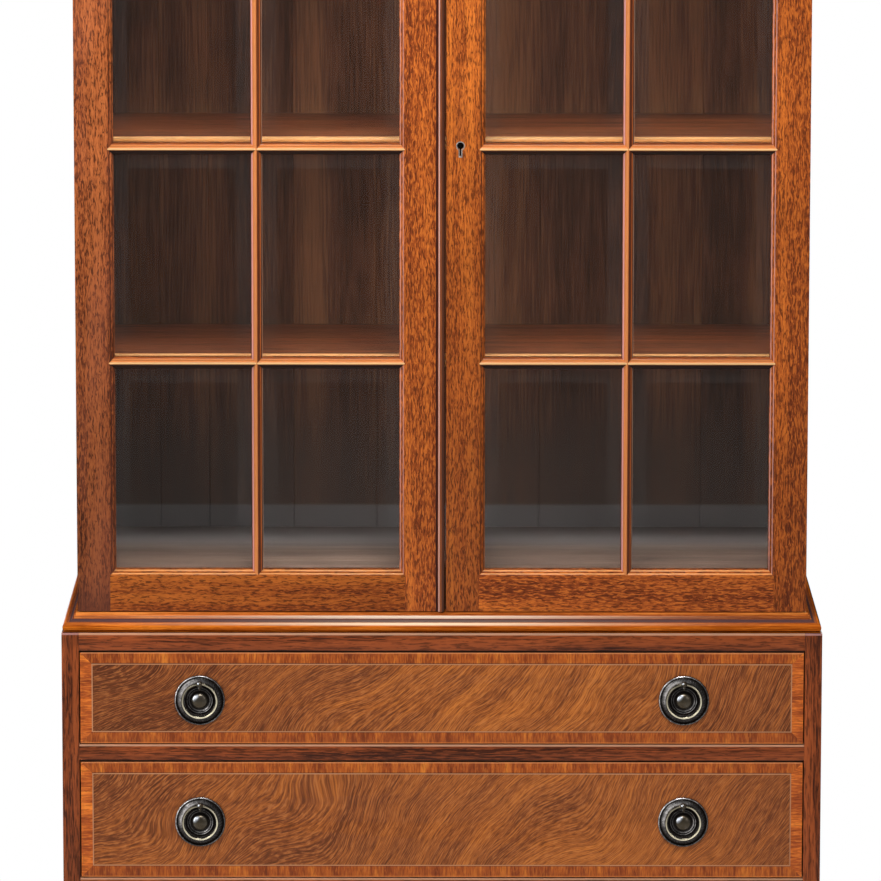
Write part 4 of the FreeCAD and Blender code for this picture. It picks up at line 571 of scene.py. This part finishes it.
# Painted light across the upright bars: painted highlights on the window side, the nose and
# by the glass, and painted shade in the quirks and on the far side
UPRIGHT = wood("bar_upright_mahogany", BAR_COLOURS, coat=0.25, **BAR_GRAIN, bands=[
    ("profile", -1.10, -0.90, (58, 28, 24), 0.70, 0.03),
    ("profile", -0.88, -0.60, (220, 160, 158), 0.62, 0.05),
    ("profile", -0.56, 0.08, (236, 150, 84), 0.55, 0.07),
    ("profile", 0.14, 0.62, (84, 38, 20), 0.76, 0.06),
    ("profile", 0.64, 0.73, (206, 112, 52), 0.50, 0.04),
    ("profile", 0.75, 0.93, (44, 20, 14), 0.88, 0.03),
    ("profile", 0.94, 1.10, (214, 190, 170), 0.42, 0.03),
])
# Painted light across the level bars: painted shade on their underside and in a quirk, and
# painted highlights on the nose and upper face
LEVEL = wood("bar_level_mahogany", BAR_COLOURS, coat=0.15, **BAR_GRAIN, bands=[
    ("profile", -1.10, -0.26, (24, 11, 8), 0.95, 0.07),
    ("profile", -0.16, 0.16, (255, 208, 144), 0.68, 0.09),
    ("profile", 0.18, 0.66, (234, 146, 78), 0.58, 0.08),
    ("profile", 0.38, 0.46, (120, 60, 32), 0.50, 0.03),
])
# Painted light across the meeting bead: a painted highlight on the window side and painted shade
# on the other
BEAD = wood("bead_mahogany", BAR_COLOURS, sheen=0.2, coat=0.3, **BAR_GRAIN, bands=[
    ("profile", -0.84, -0.50, (222, 190, 184), 0.5, 0.08),
    ("profile", -0.36, 0.16, (104, 54, 28), 0.65, 0.10),
    ("profile", 0.16, 1.10, (58, 28, 16), 0.88, 0.10),
])
# The shelves' front edge gets painted highlights
SHELF = wood("shelf_mahogany", ((98, 44, 22), (130, 64, 34), (162, 86, 45)), fleck=0.4,
             size=(0.030, 0.0024), streak=(1.6, 70.0), coat=0.5, spread=0.09, bands=[
                 ("Y", SHELF_FRONT - 0.001, SHELF_FRONT + 0.0005, (226, 142, 74), 0.75, 0.0002),
                 ("Y", SHELF_FRONT + 0.0006, SHELF_FRONT + 0.0040, (250, 186, 124), 0.5, 0.0006),
             ])
# The back boards' front faces get a painted reflection of the glass: a grey haze low down and a
# paler strip just above the cupboard floor
BACK = wood("back_boards", ((76, 42, 29), (106, 64, 45), (140, 89, 60)), fleck=0.12,
            size=(0.060, 0.006), streak=(0.7, 12.0), coat=0.0, rough=0.6, sheen=0.05,
            bands_on="front", bands=[
                ("Z", BACK_FOOT, 0.98, (76, 61, 57), 0.75, 0.09),
                ("Z", BACK_FOOT, FLOOR_TOP + 0.032, (113, 103, 105), 0.85, 0.003),
            ])
INSIDE = wood("inside_mahogany", ((84, 48, 34), (108, 64, 44), (132, 80, 54)), fleck=0.12,
              size=(0.040, 0.004), streak=(1.0, 30.0), coat=0.05, rough=0.5)
# The cupboard floor's grey is a painted reflection of the glass, and its back part gets painted
# light
GREYED = wood("greyed_floor", ((98, 74, 66), (126, 98, 88), (150, 120, 108)), fleck=0.10,
              size=(0.040, 0.004), streak=(1.0, 24.0), coat=0.0, rough=0.6,
              bands=[("Y", FLOOR_BACK - 0.14, FLOOR_BACK, (170, 156, 158), 0.85, 0.06)])
# The outer arris of the crossbanding gets a painted highlight, and old polish lies along
# the string
BAND = crossband("crossband_veneer", bands=[
    (0.80, 1.1, (226, 150, 98), 0.5), (-1.1, -0.86, (60, 26, 15), 0.7),
])
BAND_FOOT = crossband("crossband_veneer_foot", bands=[
    (-1.1, -0.80, (226, 132, 66), 0.55), (0.90, 1.1, (60, 26, 15), 0.5),
])
# The side strips are lighter, a painted sheen of their cross grain
BAND_SIDE = crossband("crossband_veneer_side", 1.38)
FIELD = figured("figured_veneer")
STRING = plain("string_inlay", (172, 122, 86), 0.4, (30, 900, 900), 0.2)
LINING = plain("lining_wood", (168, 126, 84), 0.6, (7, 220, 220), 0.22)
GLASS = glass("plate_glass")
BRASS = metal("brass", (120, 96, 56), (206, 174, 110), 0.3, worn=0.8)
PLATE = metal("pull_plate_brass", (26, 22, 20), (236, 230, 228), 0.27)
RING = metal("pull_ring_brass", (50, 43, 34), (255, 244, 214), 0.2, skin_scale=90,
             ring_shine=True)
# The knop and drop get a painted highlight on their upper left
KNOP = metal("pull_knop_brass", (74, 66, 54), (184, 188, 194), 0.32, worn=0.3,
             cloud_scale=60, skin_scale=90, polished=(-0.42, -0.82, 0.39))
IRON = metal("lock_iron", (26, 24, 22), (52, 48, 44), 0.4, worn=0.6)
PALE = metal("escutcheon_metal", (170, 166, 160), (226, 222, 214), 0.3, worn=0.8)


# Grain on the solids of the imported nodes

# Points closer than this are one point
WELD = 2e-6
# Faces that turn by more than these have a hard edge, and a bevelled one
SMOOTH_ANGLE = math.radians(24)
BEVEL_ANGLE = math.radians(35)
BEVEL_STEPS = 2
# A face is flat, not moulded, when its normal is this near to an axis
FLAT = 0.998
# Each solid's grain starts at another place in the noise
GRAIN_SHIFT = 9


def solids_in(mesh):
    """The number of the closed solid that each polygon belongs to."""
    keys, numbers, edges, current = {}, [], {}, 0
    spots = [keys.setdefault(tuple(round(c / WELD) for c in v.co), len(keys))
             for v in mesh.vertices]
    for polygon in mesh.polygons:
        corners = [spots[index] for index in polygon.vertices]
        numbers.append(current)
        for start, end in zip(corners, corners[1:] + corners[:1]):
            if edges.get((end, start)):
                edges[(end, start)] -= 1
                if not edges[(end, start)]:
                    del edges[(end, start)]
            else:
                edges[(start, end)] = edges.get((start, end), 0) + 1
        if not edges:
            current += 1
    return np.array(numbers)


def grain_axes(size, rule):
    """Axis numbers (along, across, through) for a solid of that size. The rule is an axis,
    "long" for grain along the solid or "cross" for grain across it."""
    order = sorted(range(3), key=lambda axis: -size[axis])
    if rule in AXES:
        along = AXES.index(rule)
        return [along] + [axis for axis in order if axis != along]
    if rule == "cross":
        return [order[1], order[0], order[2]]
    return order


def positions(mesh):
    return np.array([v.co for v in mesh.vertices], float)


def write(mesh, name, domain, values):
    """Numbers or vectors as a new attribute, for a material to read."""
    values = np.asarray(values, np.float32)
    kind, key = ("FLOAT", "value") if values.ndim == 1 else ("FLOAT_VECTOR", "vector")
    mesh.attributes.new(name, kind, domain).data.foreach_set(key, values.ravel())


def smooth_group():
    """Shade smooth, with hard edges where faces turn sharply or more than two meet."""
    group = bpy.data.node_groups.new("smooth_by_angle", "GeometryNodeTree")
    group.interface.new_socket("Geometry", in_out="INPUT", socket_type="NodeSocketGeometry")
    group.interface.new_socket("Geometry", in_out="OUTPUT", socket_type="NodeSocketGeometry")
    new, link = group.nodes.new, group.links.new
    start, end = new("NodeGroupInput"), new("NodeGroupOutput")
    faces, edges = new("GeometryNodeSetShadeSmooth"), new("GeometryNodeSetShadeSmooth")
    faces.domain, edges.domain = "FACE", "EDGE"
    angle, sharp = new("GeometryNodeInputMeshEdgeAngle"), new("FunctionNodeCompare")
    near, odd = new("GeometryNodeInputMeshEdgeNeighbors"), new("FunctionNodeCompare")
    either = new("FunctionNodeBooleanMath")
    either.operation = "OR"
    sharp.data_type, sharp.operation = "FLOAT", "GREATER_THAN"
    link(angle.outputs["Unsigned Angle"], sharp.inputs[0])
    sharp.inputs[1].default_value = SMOOTH_ANGLE
    # The integer sockets of a Compare node are the third and fourth
    odd.data_type, odd.operation = "INT", "NOT_EQUAL"
    link(near.outputs["Face Count"], odd.inputs[2])
    odd.inputs[3].default_value = 2
    link(sharp.outputs[0], either.inputs[0])
    link(odd.outputs[0], either.inputs[1])
    link(start.outputs[0], faces.inputs["Geometry"])
    link(faces.outputs["Geometry"], edges.inputs["Geometry"])
    link(either.outputs[0], edges.inputs["Selection"])
    edges.inputs["Shade Smooth"].default_value = False
    link(edges.outputs["Geometry"], end.inputs[0])
    return group


SMOOTH = smooth_group()


def soften(item, bevel):
    """Weld, bevel and smooth by angle. A bevel of None leaves the whole form smooth."""
    mesh = item.data
    if "custom_normal" in mesh.attributes:
        mesh.attributes.remove(mesh.attributes["custom_normal"])
    item.modifiers.new("weld", "WELD").merge_threshold = WELD
    if bevel is None:
        mesh.polygons.foreach_set("use_smooth", [True] * len(mesh.polygons))
        return
    if bevel:
        edge = item.modifiers.new("edge", "BEVEL")
        edge.width = bevel
        edge.segments = BEVEL_STEPS
        edge.limit_method = "ANGLE"
        edge.angle_limit = BEVEL_ANGLE
        edge.use_clamp_overlap = True
    item.modifiers.new("shading", "NODES").node_group = SMOOTH


def dress(name, choose, seed, bevel):
    """Materials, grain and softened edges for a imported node. Choose is a material, or a
    function that gives the material and grain rule of a solid by its box's corners."""
    item = NODES[name]
    mesh = item.data
    numbers = solids_in(mesh)
    corners = np.zeros(len(mesh.loops), int)
    mesh.loops.foreach_get("vertex_index", corners)
    coords = positions(mesh)[corners]
    corner_solid = np.repeat(numbers, [p.loop_total for p in mesh.polygons])
    grain = np.zeros_like(coords)
    profile = np.zeros(len(corners))
    tones = np.zeros(len(numbers))
    indices = np.zeros(len(numbers), int)
    slots = {}
    draws = random.Random(seed)
    mesh.materials.clear()
    for solid in range(numbers.max() + 1):
        mine = corner_solid == solid
        low, high = coords[mine].min(0), coords[mine].max(0)
        material, rule = choose(low, high) if callable(choose) else (choose, "long")
        offset = np.array([draws.uniform(-GRAIN_SHIFT, GRAIN_SHIFT) for _ in range(3)])
        grain[mine] = coords[mine][:, grain_axes(high - low, rule)] + offset
        narrow = 0 if high[0] - low[0] < high[2] - low[2] else 2
        half = max(high[narrow] - low[narrow], WELD) / 2
        profile[mine] = (coords[mine][:, narrow] - low[narrow]) / half - 1
        tones[numbers == solid] = draws.uniform(-1, 1)
        if material.name not in slots:
            slots[material.name] = len(slots)
            mesh.materials.append(material)
        indices[numbers == solid] = slots[material.name]
    mesh.polygons.foreach_set("material_index", indices)
    write(mesh, "grain", "CORNER", grain)
    write(mesh, "tone", "FACE", tones)
    # Where a corner lies across its solid's narrower front side, from -1 to 1
    write(mesh, "profile", "CORNER", profile)
    # Only mouldings face aslant: flat faces keep their plain colour
    facing = np.array([p.normal for p in mesh.polygons], float)
    facing[np.abs(facing).max(1) > FLAT] = (0, 0, 0)
    write(mesh, "facing", "FACE", facing)
    soften(item, bevel)


# A drawer front's solids by their size: the core is deep, and strings and bands narrow
CORE_DEPTH, STRING_WIDTH, BAND_WIDTH = 0.005, 0.004, 0.03
FRONT_FEET = [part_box(f"{drawer}_drawer_front")[0].z for drawer in DRAWERS]


def drawer_front(low, high):
    wide, deep, tall = high - low
    edge = min(wide, tall)
    if deep > CORE_DEPTH:
        return CASE, "X"
    if edge < STRING_WIDTH:
        return STRING, "long"
    if edge > BAND_WIDTH:
        return FIELD, "X"
    if wide < tall:
        return BAND_SIDE, "cross"
    at_foot = min(abs(low[2] - foot) for foot in FRONT_FEET) < edge / 2
    return (BAND_FOOT if at_foot else BAND), "cross"


def glazing_bars(low, high):
    wide, _, tall = high - low
    return (UPRIGHT if tall > wide else LEVEL), "long"


# The left door's outer stile is redder than its inner one
OUTER_STILE = -0.5


def left_stiles(low, high):
    return (DOOR_RED if low[0] < OUTER_STILE else DOOR_GOLD), "long"


# In the order that their grain is drawn in
WOODS = {
    "lower_left_side": POST, "lower_right_side": POST,
    "lower_top_board": LINING, "lower_bottom_board": LINING,
    "lower_back_boards": BACK, "drawer_rails": RAIL, "drawer_runners": LINING,
    "bracket_feet": CASE, "base_moulding": CASE, "waist_moulding": MOULD,
    "upper_left_side": CASE, "upper_right_side": CASE, "upper_top_board": INSIDE,
    "upper_base_board": STEP, "upper_floor": GREYED, "upper_back_boards": BACK,
    "low_shelf": SHELF, "middle_shelf": SHELF, "high_shelf": SHELF,
    "frieze": CASE, "cornice": CASE,
    "left_door_stiles": left_stiles, "left_door_rails": DOOR,
    "left_door_glazing_bars": glazing_bars, "left_door_glazing_beads": CASE,
    "left_door_meeting_bead": BEAD,
    "right_door_stiles": DOOR, "right_door_rails": DOOR_GOLD,
    "right_door_glazing_bars": glazing_bars, "right_door_glazing_beads": CASE,
}
FITTINGS = {
    "case_hinge_leaves": BRASS, "shelf_pegs": BRASS, "left_door_bolt_plates": BRASS,
    "left_door_top_bolt": BRASS, "left_door_bottom_bolt": BRASS,
    "right_door_lock_case": IRON, "right_door_lock_bolt": IRON, "right_door_escutcheon": PALE,
}
WOOD_BEVEL, BOX_BEVEL, BOTTOM_BEVEL, LEAF_BEVEL, FITTING_BEVEL = (
    0.0006, 0.0008, 0.0004, 0.0003, 0.0002)
OWN_BEVELS = {
    "left_door_glazing_bars": 0.0, "right_door_glazing_bars": 0.0, "waist_moulding": 0.0003,
    "left_door_meeting_bead": 0.0, "drawer_rails": 0.0010, "bracket_feet": 0.0,
}
# Each kind of node draws its grain from its own seed on
WOOD_SEED, FRONT_SEED, BOX_SEED, BOTTOM_SEED, RING_SEED = 100, 300, 310, 320, 330
PANE_SEED, LEAF_SEED, FITTING_SEED = 400, 410, 420

for number, (name, material) in enumerate(WOODS.items()):
    dress(name, material, WOOD_SEED + number, OWN_BEVELS.get(name, WOOD_BEVEL))
for number, drawer in enumerate(DRAWERS):
    dress(f"{drawer}_drawer_front", drawer_front, FRONT_SEED + number, WOOD_BEVEL)
    dress(f"{drawer}_drawer_box", LINING, BOX_SEED + number, BOX_BEVEL)
    dress(f"{drawer}_drawer_bottom", LINING, BOTTOM_SEED + number, BOTTOM_BEVEL)
    for side in SIDES:
        dress(f"{drawer}_drawer_{side}_ring", RING, RING_SEED + number, None)
for number, side in enumerate(SIDES):
    dress(f"{side}_door_panes", GLASS, PANE_SEED + number, 0.0)
    dress(f"{side}_door_hinge_leaves", BRASS, LEAF_SEED + number, LEAF_BEVEL)
for number, (name, material) in enumerate(FITTINGS.items()):
    dress(name, material, FITTING_SEED + number, FITTING_BEVEL)


# Ring pulls: turned and chased plates, knops, nuts and posts with a drop. The corners of
# their profiles are (radius, height) in millimetres, from the axis out and back to it.

PLATE_PROFILE = [
    (0, 0.2), (2.8, 0.2), (2.8, 1.9), (9.5, 2.0), (12.0, 1.8), (13.6, 1.2), (15.4, 1.3),
    (16.3, 2.0), (16.9, 2.7), (17.6, 2.9), (18.3, 2.7), (18.8, 2.0), (19.5, 1.5), (20.2, 1.6),
    (20.8, 2.3), (21.6, 2.8), (22.6, 3.1), (23.8, 3.3), (25.0, 3.4), (26.0, 3.4), (26.8, 3.3),
    (27.5, 3.3), (28.2, 3.2), (28.9, 3.1), (29.6, 2.9), (30.3, 2.7), (31.0, 2.4), (31.6, 2.1),
    (32.1, 1.7), (32.6, 1.5), (33.0, 1.9), (33.4, 2.7), (33.9, 3.1), (34.4, 3.2), (34.9, 2.9),
    (35.3, 2.3), (35.5, 1.5), (35.5, 0.2), (35.2, 0.0), (0, 0.0),
]
KNOP_PROFILE = [
    (0, 1.2), (9.2, 1.2), (10.4, 1.9), (10.2, 2.7), (9.6, 3.2), (10.0, 3.6), (11.0, 4.3),
    (11.4, 5.3), (11.2, 6.3), (10.6, 7.3), (9.6, 8.4), (8.2, 9.3), (6.5, 10.0), (4.5, 10.55),
    (2.4, 10.85), (0, 10.95),
]
DROP_PROFILE = [
    (0, -9.2), (0.5, -8.9), (0.9, -8.2), (1.3, -7.2), (1.9, -6.2), (2.4, -5.4), (2.5, -4.8),
    (2.1, -4.3), (2.6, -3.9), (3.3, -3.2), (4.0, -2.2), (4.5, -1.0), (4.6, 0.2), (4.3, 1.6),
    (3.7, 2.7), (2.7, 3.7), (1.5, 4.3), (0, 4.6),
]
NECK_PROFILE = [(0, 0.5), (2.4, 0.5), (2.4, 1.7), (1.9, 2.9), (1.8, 5.1), (0, 5.1)]
NUT_PROFILE = [(0, 0), (6.0, 0), (6.0, -2.6), (5.5, -3.0), (0, -3.0)]
KNOP_STEPS, DROP_STEPS, NECK_STEPS, NUT_STEPS = 64, 40, 32, 6
# The post's eye lies this far below the top of the ring
EYE_DROP = 0.002

# Leaves struck round the plate's band, and fine notches round the moulding inside it
LOBES, NOTCHES = 44, 60
PLATE_STEPS = 8 * LOBES
CHASED_BAND = (26.6, 32.2)
NOTCHED_BAND = (20.6, 23.4)
LEAF_DEPTH, VEIN_DEPTH, NOTCH_DEPTH = 0.26, 0.12, 0.12
LEAF_TWIST, VEIN_ROWS = 1.7, 3
# The leaves are rubbed flat on the upper left
FLAT_SIDE = math.radians(135)


def chasing(radius, angle):
    """How far the plate stands up at a place, in metres."""
    r = radius / MM
    low, high = CHASED_BAND
    if r < low or r > high:
        notched = NOTCHED_BAND[0] < r < NOTCHED_BAND[1]
        return MM * NOTCH_DEPTH * math.cos(NOTCHES * angle) * notched
    share = (r - low) / (high - low)
    arch = math.sin(math.pi * share)
    leaf = math.cos(LOBES * angle + LEAF_TWIST * math.sin(2 * math.pi * share))
    vein = math.cos(2 * LOBES * angle) * math.cos(VEIN_ROWS * math.pi * share)
    plain_side = max(0.0, math.cos(angle - FLAT_SIDE))
    return MM * arch * (LEAF_DEPTH * leaf + VEIN_DEPTH * vein) * (1 - plain_side)


def turned(profile, steps, place, axis, bumps=None):
    """Points and faces of a closed form turned round an axis. Height runs to -Y or +Z."""
    points, faces, rings = [], [], []
    for radius, height in profile:
        ring = []
        for turn in range(1 if radius == 0 else steps):
            angle = 2 * math.pi * turn / steps
            lift = bumps(radius, angle) if bumps else 0.0
            across, up = radius * math.cos(angle), radius * math.sin(angle)
            spot = (across, -height - lift, up) if axis == "Y" else (across, up, height + lift)
            ring.append(len(points))
            points.append(Vector(spot) + Vector(place))
        rings.append(ring)
    for lower, upper in zip(rings[:-1], rings[1:]):
        for turn in range(steps):
            quad = [lower[turn % len(lower)], lower[(turn + 1) % len(lower)],
                    upper[(turn + 1) % len(upper)], upper[turn % len(upper)]]
            corners = list(dict.fromkeys(quad))
            if len(corners) > 2:
                faces.append(corners)
    return points, faces


def turned_piece(name, corners, steps, place, material, body, axis="Y", bumps=None,
                 smooth=True):
    """A new turned piece of a pull, which rides on its drawer."""
    profile = [(radius * MM, height * MM) for radius, height in corners]
    points, faces = turned(profile, steps, place, axis, bumps)
    mesh = bpy.data.meshes.new(name)
    mesh.from_pydata([tuple(p) for p in points], [], faces)
    mesh.validate()
    mesh.materials.append(material)
    mesh.polygons.foreach_set("use_smooth", [smooth] * len(mesh.polygons))
    item = new_object(name, mesh)
    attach(item, body)
    return item


# The ring's painted highlight, and how much it grows toward the bright side
RING_SHINE_BASE, RING_SHINE_SWING = 0.6, 0.38
RING_SHINE_SIDE = (0.45, -0.9)


def paint_ring_shine(item):
    """A painted highlight for the ring, strongest below and on the right."""
    points = positions(item.data)
    off = points - (points.min(0) + points.max(0)) / 2
    away = np.maximum(np.hypot(off[:, 0], off[:, 2]), 1e-6)
    toward = (off[:, 0] * RING_SHINE_SIDE[0] + off[:, 2] * RING_SHINE_SIDE[1]) / away
    write(item.data, "ring_shine", "POINT", RING_SHINE_BASE + RING_SHINE_SWING * toward)


# A plate's band, rim and beads by radius, where painted highlights and wear lie, and the
# heights from and over which its body and rim are worn, in millimetres
HIGHLIGHT_BAND = (20.5, 32.5)
WORN_RIM = 33.2
WORN_BEADS = (17.0, 18.2), (14.8, 15.8)
BODY_HEIGHTS, RIM_HEIGHTS = (2.6, 1.4), (2.4, 0.7)
# How much they are worn, and how much painted highlight lies on their bright side
BODY_WEAR, BAND_SIDE_HIGHLIGHT = 0.10, 1.1
RIM_WEAR, RIM_SIDE_HIGHLIGHT = 0.15, 0.75
BEAD_WEAR, BEAD_SIDE_HIGHLIGHT = 0.1, 0.6


def rise(value, low, span):
    """0 below low, 1 a span above it."""
    return min(1, max(0, (value - low) / span))


def plate_wear_and_highlights(item, place):
    """High places are worn bright and low ones stay dark. Painted highlights lie on the band
    and rim at the upper left and on the beads at the lower right.
    """
    values = []
    for vertex in item.data.vertices:
        across, depth, up = (vertex.co - Vector(place)) / MM
        radius = math.hypot(across, up)
        side = (up - across) / math.sqrt(2)
        toward = max(0.0, side / max(radius, 1.0))
        value = rise(-depth, *BODY_HEIGHTS) * BODY_WEAR
        low, high = HIGHLIGHT_BAND
        if low < radius < high:
            arch = math.sin(math.pi * (radius - low) / (high - low))
            value += BAND_SIDE_HIGHLIGHT * toward ** 3 * arch ** 2
        if radius > WORN_RIM:
            value = rise(-depth, *RIM_HEIGHTS) * (RIM_WEAR + RIM_SIDE_HIGHLIGHT * toward)
        if any(inner < radius < outer for inner, outer in WORN_BEADS):
            value = BEAD_WEAR + BEAD_SIDE_HIGHLIGHT * max(0.0, -side / radius) ** 2
        values.append(value)
    write(item.data, "wear_and_highlights", "POINT", values)


def pull(drawer, side):
    """The plate, knop, post and nut of a pull, round the place of its ring."""
    name = f"{drawer}_drawer_{side}"
    body = f"{drawer}_drawer"
    ring_low, ring_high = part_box(f"{name}_ring")
    ring = (ring_low + ring_high) / 2
    front, back = [corner.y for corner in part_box(f"{drawer}_drawer_front")]
    eye = ring_high.z - EYE_DROP
    place = (ring.x, front, ring.z)
    plate = turned_piece(f"{name}_back_plate", PLATE_PROFILE, PLATE_STEPS, place, PLATE, body,
                         bumps=chasing)
    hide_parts(f"{drawer}_drawer_pull_plates")
    plate_wear_and_highlights(plate, place)
    turned_piece(f"{name}_knop", KNOP_PROFILE, KNOP_STEPS, place, KNOP, body)
    paint_ring_shine(NODES[f"{name}_ring"])
    turned_piece(f"{name}_post_drop", DROP_PROFILE, DROP_STEPS, (ring.x, ring.y, eye), KNOP,
                 body, axis="Z")
    turned_piece(f"{name}_post_neck", NECK_PROFILE, NECK_STEPS, (ring.x, front, eye), PLATE,
                 body)
    turned_piece(f"{name}_nut", NUT_PROFILE, NUT_STEPS, (ring.x, back, ring.z), BRASS, body,
                 smooth=False)


for drawer in DRAWERS:
    for side in SIDES:
        pull(drawer, side)


# Floor, world, lamps and camera

# How bright the room in front of the part is in its gloss, and how softly that begins
FRONT_GLOSS, GLOSS_BLEND = 0.3, 0.4
# The floor is white around the part, and shows its shadow more near to it
FLOOR_HALF, FLOOR_SHADE, FLOOR_NEAR_GLOW = 60.0, 0.86, 0.55
FLOOR_WHITE = (0.85, 1.45)
AMBIENT = 0.12


def seen_share(g, forward):
    """1 for camera and transmitted rays, and for reflections of the backdrop behind the
    part. Reflections of the room in front of it are dimmer."""
    path = g.add("ShaderNodeLightPath").outputs
    dim = g.fade(forward, -GLOSS_BLEND, GLOSS_BLEND, FRONT_GLOSS)
    glossy = g.math("MULTIPLY", path["Is Glossy Ray"], dim)
    seen = g.math("MAXIMUM", path["Is Camera Ray"], path["Is Transmission Ray"])
    return g.math("MAXIMUM", seen, glossy)


def floor():
    g = new_graph("pale_floor")
    place = g.coordinate("Object")
    away = g.fade(g.vector("LENGTH", place, output="Value"), *FLOOR_WHITE)
    glow = g.total(FLOOR_NEAR_GLOW, (away, 1 - FLOOR_NEAR_GLOW))
    share = g.math("MULTIPLY", seen_share(g, g.split(place)[1]), glow)
    shaded = g.join(g.add("ShaderNodeBsdfDiffuse"), (FLOOR_SHADE,) * 3 + (1,))
    white = g.join(g.add("ShaderNodeEmission"), WHITE)
    g.blended(share, shaded, white)
    mesh = bpy.data.meshes.new("floor")
    half = FLOOR_HALF
    corners = [(-half, -half, 0), (half, -half, 0), (half, half, 0), (-half, half, 0)]
    mesh.from_pydata(corners, [], [(0, 1, 2, 3)])
    mesh.materials.append(g.owner)
    new_object("floor", mesh)


def studio():
    """A dim even world that the camera sees as white."""
    world = bpy.data.worlds.new("studio")
    bpy.context.scene.world = world
    g = Graph(world, "ShaderNodeOutputWorld")
    seen = seen_share(g, g.split(g.coordinate("Generated"))[1])
    background = g.add("ShaderNodeBackground")
    g.feed(g.output.inputs[0], g.join(background, WHITE, g.fade(seen, 0, 1, AMBIENT, "LINEAR")))


# Place, target, width, height and power
SOFTBOXES = {
    "key": ((0.0, -1.7, 3.6), (0, -0.1, 1.35), 1.1, 0.8, 88),
    "left_side": ((-2.8, -1.0, 1.8), (0, -0.1, 1.3), 1.0, 2.4, 36),
    "left_front": ((-2.2, -3.2, 2.4), (0, -0.1, 1.2), 1.4, 1.6, 22),
    "right_front": ((2.5, -3.0, 2.2), (0, -0.1, 1.2), 0.6, 1.6, 14),
    "behind": ((0.9, 4.2, 2.6), (0, 0.1, 1.1), 2.4, 2.0, 70),
}


def softbox(name, place, target, width, height, power):
    lamp = bpy.data.lights.new(name, "AREA")
    lamp.shape = "RECTANGLE"
    lamp.size, lamp.size_y = width, height
    lamp.energy = power
    item = new_object(name, lamp)
    item.location = place
    item.rotation_euler = (Vector(target) - Vector(place)).to_track_quat("-Z", "Y").to_euler()


# Angles in degrees, lens and sensor in millimetres
CAMERA_PLACE = (-0.0022, -9.184, 2.5466)
CAMERA_PITCH = 9.4
CAMERA_ROLL = 0.05
CAMERA_LENS = 267.5
CAMERA_SENSOR = 36
CAMERA_SHIFT = -0.05
CAMERA_REACH = 200


def camera():
    lens = bpy.data.cameras.new("camera")
    lens.sensor_width = CAMERA_SENSOR
    lens.lens = CAMERA_LENS
    lens.shift_y = CAMERA_SHIFT
    lens.clip_end = CAMERA_REACH
    item = new_object("camera", lens)
    item.location = CAMERA_PLACE
    tilt = Euler((math.radians(90 - CAMERA_PITCH), 0, 0)).to_quaternion()
    roll = Quaternion((0, 0, 1), math.radians(CAMERA_ROLL))
    item.rotation_euler = (tilt @ roll).to_euler()
    bpy.context.scene.camera = item


floor()
studio()
for name, settings in SOFTBOXES.items():
    softbox(name, *settings)
camera()

bpy.context.scene.view_settings.view_transform = "Standard"
